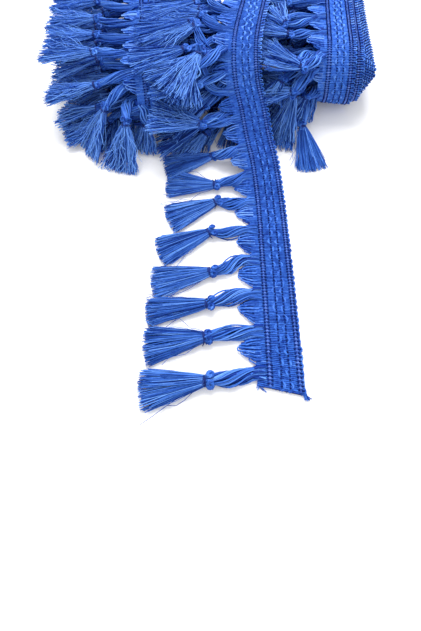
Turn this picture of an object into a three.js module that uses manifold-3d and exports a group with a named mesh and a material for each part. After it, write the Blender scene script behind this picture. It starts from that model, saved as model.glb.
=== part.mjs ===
// Tassel fringe trim: one woven braid heading with a scalloped loop edge and a tied tassel at every
// repeat, wound into a loose hank of two flat coils, with its loose end run out over the top of the
// hank and along the floor to a cut.
// Millimetres. +Z is up, the floor is z = 0, and +Y runs from the cut end towards the hank. The tables
// below are laid out from a point on the floor before the hank, and the whole is then centred.
import * as THREE from "three";
import Module from "manifold-3d";
import { mergeVertices } from "three/addons/utils/BufferGeometryUtils.js";

const wasm = await Module();
wasm.setup();

// Driving dimensions.
const GAP = 0.3; // clearance between neighbouring pieces
const REPEAT = 19.5; // tassel to tassel along the braid
const BRAID = { width: 22.4, thickness: 2.4, edgeThickness: 1.7, grooveDepth: 0.6, grooveInset: 4.6 };
const SCALLOP = { reach: 7.2, halfLength: 5.8, restReach: 0.8, sections: [-1, -0.7, 0, 0.7, 1] };
const TIE = { halfWidth: 3.3, halfHeight: 2.9 };
const LOCK = {
  fill: 0.72,
  halfHeight: 1.3,
  middleHalfHeight: 1.7,
  middleAt: 0.55,
  middleSpread: 0.5,
  roundedEnd: 2.2,
};
const NECK_LEAVES = 0.5; // share of the neck over which it leaves its edge squarely
const NECK_ROUNDNESS = 0.8; // 0 gives a neck square sides, 1 draws them out to a point
const ROOT_LIFT = 0.2; // a neck's root lies this far above the middle of the loop edge
const FOLD_STEPS = 5; // flats in each half of a coil's round fold, and along its top
const MERGE_DISTANCE = 1e-4; // corners nearer than this are one
const FLOOR_KNOT = 3.0; // height of a tie's middle where a tassel lies on the floor
const FLOOR_TIP = LOCK.halfHeight;

// Sections of a tassel from its root to where the locks part. "share" is measured along the neck from
// the root, and "past" is added along the skirt from the middle of the tie.
const NECK_SECTIONS = [
  { share: 0, past: 0, halfWidth: 3.2, halfHeight: 0.9 },
  { share: 0.5, past: 0, halfWidth: 2.7, halfHeight: 2.1 },
  { share: 1, past: -3.4, halfWidth: 1.7, halfHeight: 1.6 },
  { share: 1, past: -1.5, halfWidth: TIE.halfWidth, halfHeight: TIE.halfHeight },
  { share: 1, past: 1.3, halfWidth: TIE.halfWidth, halfHeight: TIE.halfHeight },
  { share: 1, past: 2.8, halfWidth: 2.2, halfHeight: 2.0 },
];

// The two coils of the hank. "corner" is the front end of the tassel edge on the floor, and "yaw" turns
// the far end towards +X. The first turn inside the outer one is "firstStagger" further from the tassels,
// and each turn after that is "stagger" further. "lean" is how far the front has slipped that way at the
// floor.
const TURN_THICKNESS = 2.7;
const COILS = {
  right: {
    corner: [70, 53],
    yaw: 8,
    length: 190,
    height: 49,
    sag: 2.5,
    turns: 8,
    firstStagger: 5.3,
    stagger: 2,
    lean: 6,
  },
  left: {
    corner: [-46, 30],
    yaw: -7,
    length: 196,
    height: 46,
    sag: 2.5,
    turns: 8,
    firstStagger: 3.4,
    stagger: 3.4,
    lean: 0,
  },
};

// The loose end: the middle of the braid's underside from the cut end, up over the hank and tucked in
// behind it.
const LOOSE_RUN = [
  { x: 33.6, y: -125.0, z: 0.0 },
  { x: 34.2, y: -90.0, z: 0.0 },
  { x: 34.6, y: -55.0, z: 0.0 },
  { x: 34.7, y: -28.0, z: 0.0 },
  { x: 33.9, y: -10.0, z: 2.5 },
  { x: 32.0, y: 6.0, z: 7.5 },
  { x: 29.0, y: 20.0, z: 13.0 },
  { x: 25.4, y: 36.0, z: 24.5 },
  { x: 21.8, y: 47.0, z: 34.5 },
  { x: 20.2, y: 57.0, z: 45.0 },
  { x: 20.4, y: 67.0, z: 51.5 },
  { x: 23.1, y: 85.0, z: 53.0 },
  { x: 28.6, y: 112.0, z: 53.0 },
  { x: 35.6, y: 146.0, z: 53.0 },
  { x: 41.6, y: 178.0, z: 52.0 },
  { x: 46.1, y: 204.0, z: 46.5 },
  { x: 48.6, y: 222.0, z: 34.0 },
  { x: 49.6, y: 229.0, z: 18.0 },
  { x: 49.2, y: 225.0, z: 6.5 },
  { x: 48.6, y: 213.0, z: 2.9 },
  { x: 48.0, y: 200.0, z: 2.9 },
];
const MIDDLE = { x: 4.19, y: 58.4 }; // middle of the whole outline on the floor, which is the origin
const CUT_SLANT = 4; // the cut end runs this much further out at the plain edge
const FIRST_TASSEL = 6.5; // from the cut end to the first tassel's root

// The crossing run on the floor from one coil to the other, tassels to the front.
const CROSSING = { y: 89.2, rightX: 78.15, leftX: -28.0, firstTassel: 17.05 };

// Tassels. Each row gives the middle of the tie, the middle of the cut ends and the width there.
// Tassels of the loose end, from the cut end.
const LOOSE_TASSELS = [
  { tie: [-1.0, -122.8, FLOOR_KNOT], tip: [-32.2, -127.0, FLOOR_TIP], flare: 16.5 },
  { tie: [-1.5, -103.0, FLOOR_KNOT], tip: [-31.9, -107.0, FLOOR_TIP], flare: 17.5 },
  { tie: [-0.3, -86.0, FLOOR_KNOT], tip: [-32.1, -90.0, FLOOR_TIP], flare: 14.5 },
  { tie: [1.2, -68.4, FLOOR_KNOT], tip: [-30.7, -74.0, FLOOR_TIP], flare: 15.0 },
  { tie: [0.3, -43.7, FLOOR_KNOT], tip: [-28.7, -56.6, FLOOR_TIP], flare: 15.0 },
  { tie: [4.0, -23.0, FLOOR_KNOT], tip: [-24.6, -34.2, FLOOR_TIP], flare: 15.5 },
  { tie: [4.1, -10.8, FLOOR_KNOT], tip: [-26.8, -11.2, FLOOR_TIP], flare: 13.5 },
  { tie: [2.0, 11.4, 5.0], tip: [-28.6, 5.8, FLOOR_TIP], flare: 13.0 },
  { tie: [-5.3, 18.0, 28.0], tip: [-36.0, 21.0, 31.0], flare: 22.0 },
  { tie: [-6.7, 55.0, 54.0], tip: [-25.6, 28.0, 46.0], flare: 24.0 },
  { tie: [-9.4, 80.5, 56.0], tip: [-41.0, 68.0, 47.4], flare: 22.0 },
  { tie: [-5.7, 92.5, 56.0], tip: [-37.0, 107.0, 47.0], flare: 20.0 },
  { tie: [-0.5, 113.0, 56.5], tip: [-32.0, 125.0, 53.0], flare: 15.5 },
  { tie: [4.0, 130.5, 56.0], tip: [-28.0, 142.0, 51.5], flare: 15.0 },
  { tie: [8.0, 149.5, 55.5], tip: [-24.0, 159.5, 50.0], flare: 15.0 },
  { tie: [12.0, 168.0, 54.5], tip: [-20.0, 177.0, 48.0], flare: 15.0 },
  { tie: [16.0, 186.5, 52.0], tip: [-15.5, 195.5, 44.5], flare: 15.0 },
  { tie: [20.0, 203.0, 45.0], tip: [-11.0, 212.5, 37.0], flare: 15.0 },
];
// Tassels of the left coil. "along" is the root's distance from the coil's front, "rootZ" its height.
const LEFT_TASSELS = [
  { along: 8, rootZ: 30, tie: [-53.5, 21.0, 27.0], tip: [-58.0, -1.5, FLOOR_TIP], flare: 19.0 },
  { along: 13, rootZ: 38, tie: [-67.5, 31.5, 29.0], tip: [-86.5, 15.5, FLOOR_TIP], flare: 18.0 },
  { along: 10, rootZ: 20, tie: [-68.0, 36.5, 13.0], tip: [-98.0, 28.0, 4.5], flare: 13.0 },
  { along: 20, rootZ: 42, tie: [-73.5, 45.5, 36.0], tip: [-107.5, 44.0, 27.0], flare: 14.5 },
  { along: 37, rootZ: 43, tie: [-76.5, 66.5, 46.0], tip: [-112.0, 69.0, 42.5], flare: 17.0 },
  { along: 54, rootZ: 43, tie: [-78.5, 86.0, 45.0], tip: [-113.5, 90.0, 41.0], flare: 16.5 },
  { along: 72, rootZ: 43, tie: [-81.0, 105.0, 45.0], tip: [-116.0, 110.5, 40.0], flare: 17.0 },
  { along: 93, rootZ: 43, tie: [-83.5, 126.5, 45.0], tip: [-118.5, 132.0, 40.0], flare: 17.0 },
  { along: 113, rootZ: 43, tie: [-86.0, 147.5, 45.0], tip: [-121.0, 153.0, 40.0], flare: 17.0 },
  { along: 133, rootZ: 43, tie: [-88.0, 168.0, 44.0], tip: [-122.5, 174.0, 39.0], flare: 17.0 },
  { along: 153, rootZ: 43, tie: [-90.0, 188.5, 44.0], tip: [-124.0, 195.0, 38.0], flare: 17.0 },
  { along: 172, rootZ: 42, tie: [-91.5, 208.5, 42.0], tip: [-124.0, 216.5, 34.0], flare: 17.0 },
  { along: 27, rootZ: 32, tie: [-74.0, 56.5, 28.0], tip: [-105.5, 58.5, 17.0], flare: 14.0 },
  { along: 46, rootZ: 28, tie: [-76.0, 77.0, 24.0], tip: [-108.0, 79.5, 15.0], flare: 15.0 },
  { along: 66, rootZ: 28, tie: [-78.5, 97.5, 24.0], tip: [-110.5, 101.0, 15.0], flare: 15.0 },
  { along: 88, rootZ: 28, tie: [-81.0, 119.0, 24.0], tip: [-113.0, 123.5, 15.0], flare: 15.0 },
  { along: 112, rootZ: 28, tie: [-84.0, 144.0, 24.0], tip: [-116.0, 148.5, 15.0], flare: 15.0 },
  { along: 138, rootZ: 28, tie: [-87.0, 170.0, 24.0], tip: [-119.0, 175.0, 15.0], flare: 15.0 },
];
// Tassels of the right coil.
const RIGHT_TASSELS = [
  { along: 6, rootZ: 15, tie: [62.5, 34.0, 10.0], tip: [67.0, 3.5, FLOOR_TIP], flare: 17.0 },
  { along: 6, rootZ: 33, tie: [54.0, 42.0, 31.0], tip: [36.5, 60.0, 25.5], flare: 13.0 },
  { along: 13, rootZ: 43, tie: [57.0, 57.5, 45.5], tip: [29.5, 70.5, 44.5], flare: 16.0 },
  { along: 32, rootZ: 46, tie: [54.0, 82.5, 47.5], tip: [23.0, 91.0, 49.3], flare: 16.0 },
  { along: 52, rootZ: 46, tie: [54.0, 101.0, 47.5], tip: [24.5, 110.5, 49.3], flare: 16.0 },
  { along: 71, rootZ: 46, tie: [57.0, 121.5, 47.5], tip: [27.5, 131.0, 49.3], flare: 16.0 },
  { along: 91, rootZ: 46, tie: [60.5, 142.5, 47.5], tip: [30.5, 152.0, 49.3], flare: 16.0 },
  { along: 110, rootZ: 46, tie: [63.0, 162.0, 47.0], tip: [33.0, 171.5, 48.5], flare: 16.0 },
  { along: 130, rootZ: 46, tie: [65.5, 182.0, 46.0], tip: [35.5, 191.0, 44.5], flare: 16.0 },
  { along: 149, rootZ: 45, tie: [68.5, 202.0, 43.0], tip: [40.0, 208.5, 36.0], flare: 15.0 },
  { along: 169, rootZ: 42, tie: [71.5, 221.5, 38.0], tip: [64.0, 250.0, 24.0], flare: 15.0 },
  { along: 62, rootZ: 27, tie: [55.0, 115.0, 24.0], tip: [23.0, 121.0, 20.0], flare: 16.0 },
  { along: 98, rootZ: 27, tie: [59.0, 151.0, 24.0], tip: [27.0, 157.0, 20.0], flare: 16.0 },
  { along: 134, rootZ: 27, tie: [64.0, 186.5, 24.0], tip: [32.5, 190.0, 19.0], flare: 15.0 },
  { along: 15, rootZ: 25, tie: [53.0, 63.0, 23.0], tip: [22.0, 73.0, 22.0], flare: 16.0 },
];
// Tassels of the crossing run, from the right coil.
const CROSSING_TASSELS = [
  { tie: [57.0, 54.5, 5.0], tip: [49.0, 21.0, 2.0], flare: 13.0 },
  { tie: [38.5, 54.0, 5.0], tip: [31.5, 20.5, 2.0], flare: 14.0 },
  { tie: [19.5, 54.0, 6.0], tip: [11.0, 21.0, 2.0], flare: 14.0 },
  { tie: [1.5, 53.0, 4.0], tip: [-9.0, 19.0, 2.0], flare: 16.0 },
  { tie: [-15.0, 50.0, 3.2], tip: [-28.0, 18.5, 2.0], flare: 15.0 },
];
const LOCKS_SHOWN = 5; // locks in a tassel that lies in the open
const LOCKS_BURIED = 4;

const yarn = new THREE.MeshStandardMaterial({ color: 0x2f62c9, roughness: 0.62, metalness: 0 });
const braidCloth = new THREE.MeshStandardMaterial({ color: 0x2a55b8, roughness: 0.75, metalness: 0 });

const UP = new THREE.Vector3(0, 0, 1);
const vector = ([x, y, z]) => new THREE.Vector3(x, y, z);
const lerp = THREE.MathUtils.lerp;

// A closed solid, gathered as rows of points and triangles.
class Solid {
  constructor() {
    this.points = [];
    this.faces = [];
  }
  add(points) {
    const first = this.points.length;
    this.points.push(...points);
    return points.map((_, i) => first + i);
  }
  quad(a, b, c, d) {
    this.faces.push(a, b, c, a, c, d);
  }
  // The wall between two loops of as many points, the second one further along.
  band(near, far) {
    near.forEach((_, k) => {
      const next = (k + 1) % near.length;
      this.quad(near[k], near[next], far[next], far[k]);
    });
  }
  // The end of a loop whose first half runs along its top and second half back along its underside.
  startCap(loop) {
    const last = loop.length - 1;
    for (let j = 0; j < loop.length / 2 - 1; j++) {
      this.quad(loop[j], loop[last - j], loop[last - j - 1], loop[j + 1]);
    }
  }
  endCap(loop) {
    const last = loop.length - 1;
    for (let j = 0; j < loop.length / 2 - 1; j++) {
      this.quad(loop[j], loop[j + 1], loop[last - j - 1], loop[last - j]);
    }
  }
  geometry() {
    const made = new THREE.BufferGeometry();
    const places = this.points.flatMap((p) => p.toArray());
    made.setAttribute("position", new THREE.Float32BufferAttribute(places, 3));
    made.setIndex(this.faces);
    made.computeVertexNormals();
    return made;
  }
}

// Right and up directions across a piece that runs along "forward".
function across(forward) {
  const right = new THREE.Vector3().crossVectors(forward, UP).normalize();
  return { right, up: new THREE.Vector3().crossVectors(right, forward).normalize() };
}

// One loop of a tassel's neck or tie: a flattened round, with a pair of points for each lock's edge.
function neckLoop(centre, forward, halfWidth, halfHeight, locks) {
  const { right, up } = across(forward);
  const point = (side, sense) =>
    centre
      .clone()
      .addScaledVector(right, side * halfWidth)
      .addScaledVector(up, sense * halfHeight * Math.sqrt(1 - NECK_ROUNDNESS * side * side));
  const sides = Array.from({ length: locks + 1 }, (_, j) => (2 * j) / locks - 1);
  return [...sides.map((t) => point(t, 1)), ...sides.reverse().map((t) => point(t, -1))];
}

// A tassel: gathered neck, tie, and a skirt of locks that part at the tie and spread to their cut ends.
function tasselGeometry({ root, out }, tie, tip, flare, locks) {
  const solid = new Solid();
  const skirt = tip.clone().sub(tie).normalize();
  const squareOut = root.clone().addScaledVector(out, NECK_LEAVES * root.distanceTo(tie));
  const neck = new THREE.QuadraticBezierCurve3(root, squareOut, tie);
  const loops = NECK_SECTIONS.map(({ share, past, halfWidth, halfHeight }) => {
    const centre = neck.getPoint(share).addScaledVector(skirt, past);
    centre.z = Math.max(halfHeight, centre.z);
    const forward = share === 1 ? skirt : neck.getTangent(share);
    return solid.add(neckLoop(centre, forward, halfWidth, halfHeight, locks));
  });
  solid.startCap(loops[0]);
  loops.slice(1).forEach((loop, i) => solid.band(loops[i], loop));

  const { right, up } = across(skirt);
  const base = loops.at(-1);
  const last = base.length - 1;
  const baseHalf = NECK_SECTIONS.at(-1).halfWidth;
  // A lock's outline at its middle or its cut end: four points round its own middle.
  const section = (middle, halfWidth, halfHeight) =>
    [[-1, 1], [1, 1], [1, -1], [-1, -1]].map(([side, sense]) =>
      middle.clone().addScaledVector(right, side * halfWidth).addScaledVector(up, sense * halfHeight));
  for (let j = 0; j < locks; j++) {
    const place = (2 * j + 1) / locks - 1; // -1 at one side of the skirt, 1 at the other
    const tipMiddle = tip
      .clone()
      .addScaledVector(right, (place * flare) / 2)
      .addScaledVector(skirt, -LOCK.roundedEnd * place * place);
    const middleHalf = lerp(baseHalf, flare / 2, LOCK.middleSpread);
    const halfway = tie.clone().lerp(tip, LOCK.middleAt).addScaledVector(right, place * middleHalf);
    halfway.z = Math.max(LOCK.middleHalfHeight, halfway.z);
    const root4 = [base[j], base[j + 1], base[last - j - 1], base[last - j]];
    const middle4 = solid.add(section(halfway, (LOCK.fill * middleHalf) / locks, LOCK.middleHalfHeight));
    const tip4 = solid.add(section(tipMiddle, (LOCK.fill * flare) / 2 / locks, LOCK.halfHeight));
    solid.band(root4, middle4);
    solid.band(middle4, tip4);
    solid.endCap(tip4);
  }
  return solid.geometry();
}

// How far the loop edge reaches past the braid at a distance from the first tassel's root.
function scallopReach(distance) {
  const fromMiddle = THREE.MathUtils.euclideanModulo(distance, REPEAT) - REPEAT / 2;
  const bulge = Math.sqrt(Math.max(0, 1 - (fromMiddle / SCALLOP.halfLength) ** 2));
  return Math.max(SCALLOP.restReach, SCALLOP.reach * bulge);
}

// Distances along a run where the braid's outline or path needs a section.
function sectionDistances(length, firstTassel) {
  const scallop = SCALLOP.sections.map((t) => REPEAT / 2 + t * SCALLOP.halfLength);
  const found = [0, length];
  for (let start = firstTassel - REPEAT; start < length; start += REPEAT) {
    found.push(...[0, ...scallop].map((d) => start + d).filter((d) => d > 1 && d < length - 1));
  }
  return found.sort((a, b) => a - b);
}

// The frame of a run at a distance: its place, its plain-edge side and its upper face's direction.
function runFrame(curve, length, distance, side) {
  const share = THREE.MathUtils.clamp(distance / length, 0, 1);
  const at = curve.getPointAt(share);
  at.z = Math.max(0, at.z);
  const along = curve.getTangentAt(share);
  const right = side.clone().addScaledVector(along, -side.dot(along)).normalize();
  return { at, along, right, up: new THREE.Vector3().crossVectors(right, along) };
}

// The braid along a run: raised middle cords between two grooves, and the scalloped loop edge.
function braidGeometry(curve, side, firstTassel, cutSlant) {
  const length = curve.getLength();
  const half = BRAID.width / 2;
  const solid = new Solid();
  const loops = sectionDistances(length, firstTassel).map((distance) => {
    const { at, along, right, up } = runFrame(curve, length, distance, side);
    const slant = distance === 0 ? cutSlant : 0;
    const profile = [
      [-half - scallopReach(distance - firstTassel), BRAID.edgeThickness],
      [-half, BRAID.edgeThickness],
      [-half + BRAID.grooveInset, BRAID.thickness - BRAID.grooveDepth],
      [0, BRAID.thickness],
      [half - BRAID.grooveInset, BRAID.thickness - BRAID.grooveDepth],
      [half, BRAID.edgeThickness],
    ];
    const point = (offset, height) =>
      at
        .clone()
        .addScaledVector(right, offset)
        .addScaledVector(up, height)
        .addScaledVector(along, (-slant * (offset + half)) / BRAID.width);
    const top = profile.map(([offset, height]) => point(offset, height));
    const underside = profile.map(([offset]) => point(offset, 0)).reverse();
    return solid.add([...top, ...underside]);
  });
  solid.startCap(loops[0]);
  loops.slice(1).forEach((loop, i) => solid.band(loops[i], loop));
  solid.endCap(loops.at(-1));
  return solid.geometry();
}

// Where a tassel's root meets the loop edge of a run, and the direction squarely out from the edge.
function rootOnRun(curve, side, distance) {
  const { at, right, up } = runFrame(curve, curve.getLength(), distance, side);
  const root = at
    .addScaledVector(right, -BRAID.width / 2 - SCALLOP.restReach - GAP)
    .addScaledVector(up, BRAID.edgeThickness / 2 + ROOT_LIFT);
  return { root, out: right.negate() };
}

// The outline of one turn of a coil, seen from its end: round folds, a flat underside and a top that
// dips a little between them.
function turnOutline(length, height, sag, inset) {
  const radius = height / 2 - inset;
  const outline = new THREE.Shape();
  outline.moveTo(height / 2, inset);
  outline.lineTo(length - height / 2, inset);
  outline.absarc(length - height / 2, height / 2, radius, -Math.PI / 2, Math.PI / 2, false);
  outline.quadraticCurveTo(length / 2, height - inset - 2 * sag, height / 2, height - inset);
  outline.absarc(height / 2, height / 2, radius, Math.PI / 2, (3 * Math.PI) / 2, false);
  return outline;
}

function solidOf(geometry) {
  const bare = new THREE.BufferGeometry().setAttribute("position", geometry.attributes.position);
  const merged = mergeVertices(bare, MERGE_DISTANCE);
  return new wasm.Manifold(
    new wasm.Mesh({
      numProp: 3,
      vertProperties: merged.attributes.position.array,
      triVerts: new Uint32Array(merged.index.array),
    }),
  );
}

function geometryOf(solid) {
  const { vertProperties, triVerts } = solid.getMesh();
  const made = new THREE.BufferGeometry();
  made.setAttribute("position", new THREE.BufferAttribute(new Float32Array(vertProperties), 3));
  made.setIndex(new THREE.BufferAttribute(new Uint32Array(triVerts), 1));
  made.computeVertexNormals();
  return made;
}

// How far a coil has slipped away from its tassels, at a distance from its front and a height.
function slip({ length, height, lean }, distance, rise) {
  return lean * (1 - distance / length) * (1 - rise / height);
}

// A wound coil as one solid: each inner turn shows as a ledge past the turn that is wound over it.
function coilGeometry(coil) {
  const { length, height, sag, turns, firstStagger, stagger } = coil;
  const turnSolids = Array.from({ length: turns }, (_, turn) => {
    const outline = turnOutline(length, height, sag, turn * TURN_THICKNESS);
    const ledge = turn === 0 ? 0 : firstStagger + (turn - 1) * stagger;
    const depth = BRAID.width + ledge;
    const options = { depth, bevelEnabled: false, curveSegments: FOLD_STEPS };
    return solidOf(new THREE.ExtrudeGeometry(outline, options));
  });
  const wound = geometryOf(turnSolids.reduce((whole, turn) => whole.add(turn)));
  const { position } = wound.attributes;
  for (let i = 0; i < position.count; i += 1) {
    position.setZ(i, position.getZ(i) + slip(coil, position.getX(i), position.getY(i)));
  }
  wound.computeVertexNormals();
  return wound;
}

// Directions of a coil on the floor: along it from its front, and across it from its tassel edge.
function coilDirections({ yaw }) {
  const turn = THREE.MathUtils.degToRad(yaw);
  const along = new THREE.Vector3(Math.sin(turn), Math.cos(turn), 0);
  return { along, across: new THREE.Vector3().crossVectors(along, UP) };
}

function rootOnCoil(coil, distance, height) {
  const { along, across: inwards } = coilDirections(coil);
  const root = vector([...coil.corner, height]).addScaledVector(along, distance);
  root.addScaledVector(inwards, slip(coil, distance, height) - GAP);
  return { root, out: inwards.negate() };
}

const trim = new THREE.Group();
trim.name = "tassel_fringe_trim";
trim.position.set(-MIDDLE.x, -MIDDLE.y, 0);

function addPiece(name, geometry, material) {
  const piece = new THREE.Mesh(geometry, material);
  piece.name = name;
  trim.add(piece);
  return piece;
}

function addTassels(prefix, rows, rootOf, locks) {
  rows.forEach((row, i) => {
    const name = `${prefix}_${String(i + 1).padStart(2, "0")}`;
    const geometry = tasselGeometry(rootOf(row, i), vector(row.tie), vector(row.tip), row.flare, locks);
    addPiece(name, geometry, yarn);
  });
}

for (const [name, coil] of Object.entries(COILS)) {
  const { along, across: inwards } = coilDirections(coil);
  const piece = addPiece(`coil_${name}`, coilGeometry(coil), braidCloth);
  piece.setRotationFromMatrix(new THREE.Matrix4().makeBasis(along, UP, inwards));
  piece.position.set(coil.corner[0], coil.corner[1], 0);
}

const looseSide = new THREE.Vector3(1, 0, 0);
const looseCurve = new THREE.CatmullRomCurve3(LOOSE_RUN.map(({ x, y, z }) => new THREE.Vector3(x, y, z)));
addPiece("loose_end_braid", braidGeometry(looseCurve, looseSide, FIRST_TASSEL, CUT_SLANT), braidCloth);

const crossingSide = new THREE.Vector3(0, 1, 0);
const crossingCurve = new THREE.LineCurve3(
  new THREE.Vector3(CROSSING.rightX, CROSSING.y, 0),
  new THREE.Vector3(CROSSING.leftX, CROSSING.y, 0),
);
addPiece("crossing_braid", braidGeometry(crossingCurve, crossingSide, CROSSING.firstTassel, 0), braidCloth);

addTassels("tassel_loose", LOOSE_TASSELS, (_, i) =>
  rootOnRun(looseCurve, looseSide, FIRST_TASSEL + i * REPEAT), LOCKS_SHOWN);
addTassels("tassel_crossing", CROSSING_TASSELS, (_, i) =>
  rootOnRun(crossingCurve, crossingSide, CROSSING.firstTassel + i * REPEAT), LOCKS_BURIED);
addTassels("tassel_left", LEFT_TASSELS, (row) =>
  rootOnCoil(COILS.left, row.along, row.rootZ), LOCKS_BURIED);
addTassels("tassel_right", RIGHT_TASSELS, (row) =>
  rootOnCoil(COILS.right, row.along, row.rootZ), LOCKS_BURIED);

export default trim;
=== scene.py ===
"""A blue tassel fringe trim: the yarns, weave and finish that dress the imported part.

Two coils of the trim lie side by side, and its loose end runs over them and along the floor.
Lengths are in millimetres until a mesh is made, and s, t and h stand for a place on a braid:
along it, across it from its middle towards the plain edge, and up from its back.
"""

import math

import bpy
import numpy as np
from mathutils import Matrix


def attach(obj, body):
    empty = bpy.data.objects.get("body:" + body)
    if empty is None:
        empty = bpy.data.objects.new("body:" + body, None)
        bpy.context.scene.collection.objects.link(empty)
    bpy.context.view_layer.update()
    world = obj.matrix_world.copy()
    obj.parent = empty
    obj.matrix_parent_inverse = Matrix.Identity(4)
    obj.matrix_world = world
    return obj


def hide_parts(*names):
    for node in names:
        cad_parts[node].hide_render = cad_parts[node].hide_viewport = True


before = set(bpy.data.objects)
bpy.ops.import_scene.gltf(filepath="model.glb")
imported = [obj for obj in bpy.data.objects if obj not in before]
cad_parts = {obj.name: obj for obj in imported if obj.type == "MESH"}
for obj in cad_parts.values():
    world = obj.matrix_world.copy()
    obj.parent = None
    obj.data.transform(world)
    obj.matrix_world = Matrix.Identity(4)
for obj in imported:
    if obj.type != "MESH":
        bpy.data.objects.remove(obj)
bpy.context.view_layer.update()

METRES = 0.001
SEED = 20
UP = np.array([0.0, 0.0, 1.0])
# The tables below start from a point on the floor before the hank, and this is the part's own origin.
MIDDLE = np.array([4.19, 58.4, 0.0])

# The braid, across from its middle: the tassel edge is on the minus side.
REPEAT = 19.5
PICK = REPEAT / 12
BAND_WIDTH = 22.4
HALF_BAND = BAND_WIDTH / 2
BAND_THICKNESS = 2.4
GROUND_THICKNESS = 0.8
STITCH_COLUMNS = (10.0, 8.0, -4.1, -6.3)
SECOND_COLUMNS = (10.0, 8.0)  # the ones that show on the second turn of a coil
EDGE_COLUMN = 10.6  # the one that shows on the turns inside that
CHAIN_LINES = (9.0, -5.2)
GIMP_LINES = (0.2, 4.2)
GIMP_SWING = 1.25
GIMP_PERIOD = REPEAT / 2
CUT_SLANT = 4.0
SLANT_FADES = 28.0  # the lean of the cut end is gone this far along
FIRST_TASSEL = 5.4

# Camera of the photograph: metres, degrees and pixels of a 421 by 631 picture.
CAMERA_PLACE = (-0.00419, -0.21683, 0.21806)
CAMERA_TILT = 36.0
FOCAL_PIXELS = 412.0
PICTURE_HEIGHT = 631.0
AXIS_ABOVE_MIDDLE = 141.5
SENSOR = 36.0

# The loose end's line on its back, from the cut end: x, y, z.
LOOSE_LINE = np.array([
    (33.6, -125.0, 0.0), (34.2, -90.0, 0.0), (34.6, -55.0, 0.0), (34.7, -28.0, 0.0), (33.9, -10.0, 2.5),
    (32.0, 6.0, 7.5), (29.0, 20.0, 13.0), (25.4, 36.0, 24.5), (21.8, 47.0, 34.5), (20.2, 57.0, 45.0),
    (20.4, 67.0, 51.5), (23.1, 85.0, 53.0), (28.6, 112.0, 53.0), (35.6, 146.0, 53.0), (41.6, 178.0, 52.0),
    (46.1, 204.0, 46.5), (48.6, 222.0, 34.0), (49.6, 229.0, 18.0), (49.2, 225.0, 6.5), (48.6, 213.0, 2.9),
    (48.0, 200.0, 2.9),
])
# The run on the floor between the coils, from the right one.
CROSSING_LINE = np.array([(78.15, 89.2, 0.0), (-28.0, 89.2, 0.0)])
CROSSING_FIRST_TASSEL = 17.05

# The coils: front corner of the tassel edge, turn from +Y in degrees, sizes, how far each turn lies past the
# outer one, and how far the front has slipped away from the tassels at the floor.
TURN_THICKNESS = 2.7
COILS = {
    "right": {
        "corner": (70.0, 53.0, 0.0),
        "yaw": 8.0,
        "length": 190.0,
        "height": 49.0,
        "ledges": (0.0, 5.3, 7.3, 9.3, 11.3, 13.3, 15.3, 17.3, 17.3),
        "lean": 6.0,
    },
    "left": {
        "corner": (-46.0, 30.0, 0.0),
        "yaw": -7.0,
        "length": 196.0,
        "height": 46.0,
        "ledges": (0.0, 3.4, 6.8, 10.2, 13.6, 17.0, 20.4, 23.8, 23.8),
        "lean": 0.0,
    },
}
COIL_SAG = 2.5
COIL_TURNS = 8
COIL_STEP = 5.0

# Tassels of the loose end, from the cut end: middle of the tie, middle of the cut ends, width there.
LOOSE_TASSELS = [
    ((-1.0, -122.8, 3.0), (-32.2, -127.0, 1.3), 16.5),
    ((-1.5, -103.0, 3.0), (-31.9, -107.0, 1.3), 17.5),
    ((-0.3, -86.0, 3.0), (-32.1, -90.0, 1.3), 14.5),
    ((1.2, -68.4, 3.0), (-30.7, -74.0, 1.3), 17.0),
    ((0.3, -43.7, 3.0), (-28.7, -55.4, 1.3), 18.0),
    ((4.0, -23.0, 3.0), (-24.6, -34.2, 1.3), 18.5),
    ((4.1, -10.8, 3.0), (-26.5, -8.8, 1.3), 19.0),
    ((2.0, 11.4, 5.0), (-28.6, 4.0, 1.3), 18.5),
    ((-5.3, 18.0, 28.0), (-36.2, 23.6, 32.5), 27.0),
    ((-6.7, 55.0, 54.0), (-25.6, 28.0, 46.0), 24.0),
    ((-9.4, 80.5, 56.0), (-41.0, 68.0, 47.4), 22.0),
    ((-5.7, 92.5, 56.0), (-37.0, 107.0, 47.0), 20.0),
    ((-0.5, 113.0, 56.5), (-32.0, 125.0, 53.0), 15.5),
    ((4.0, 130.5, 56.0), (-28.0, 142.0, 51.5), 15.0),
    ((8.0, 149.5, 55.5), (-24.0, 159.5, 50.0), 15.0),
    ((12.0, 168.0, 54.5), (-20.0, 177.0, 48.0), 15.0),
    ((16.0, 186.5, 52.0), (-15.5, 195.5, 44.5), 15.0),
    ((20.0, 203.0, 45.0), (-11.0, 212.5, 37.0), 15.0),
]
# Tassels of the crossing run, from the right coil.
CROSSING_TASSELS = [
    ((57.0, 54.5, 5.0), (49.0, 21.0, 2.0), 13.0),
    ((38.5, 54.0, 5.0), (31.5, 20.5, 2.0), 14.0),
    ((19.5, 54.0, 6.0), (11.0, 21.0, 2.0), 14.0),
    ((1.5, 53.0, 4.0), (-9.0, 19.0, 2.0), 16.0),
    ((-15.0, 50.0, 3.2), (-28.0, 18.5, 2.0), 15.0),
]
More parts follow.
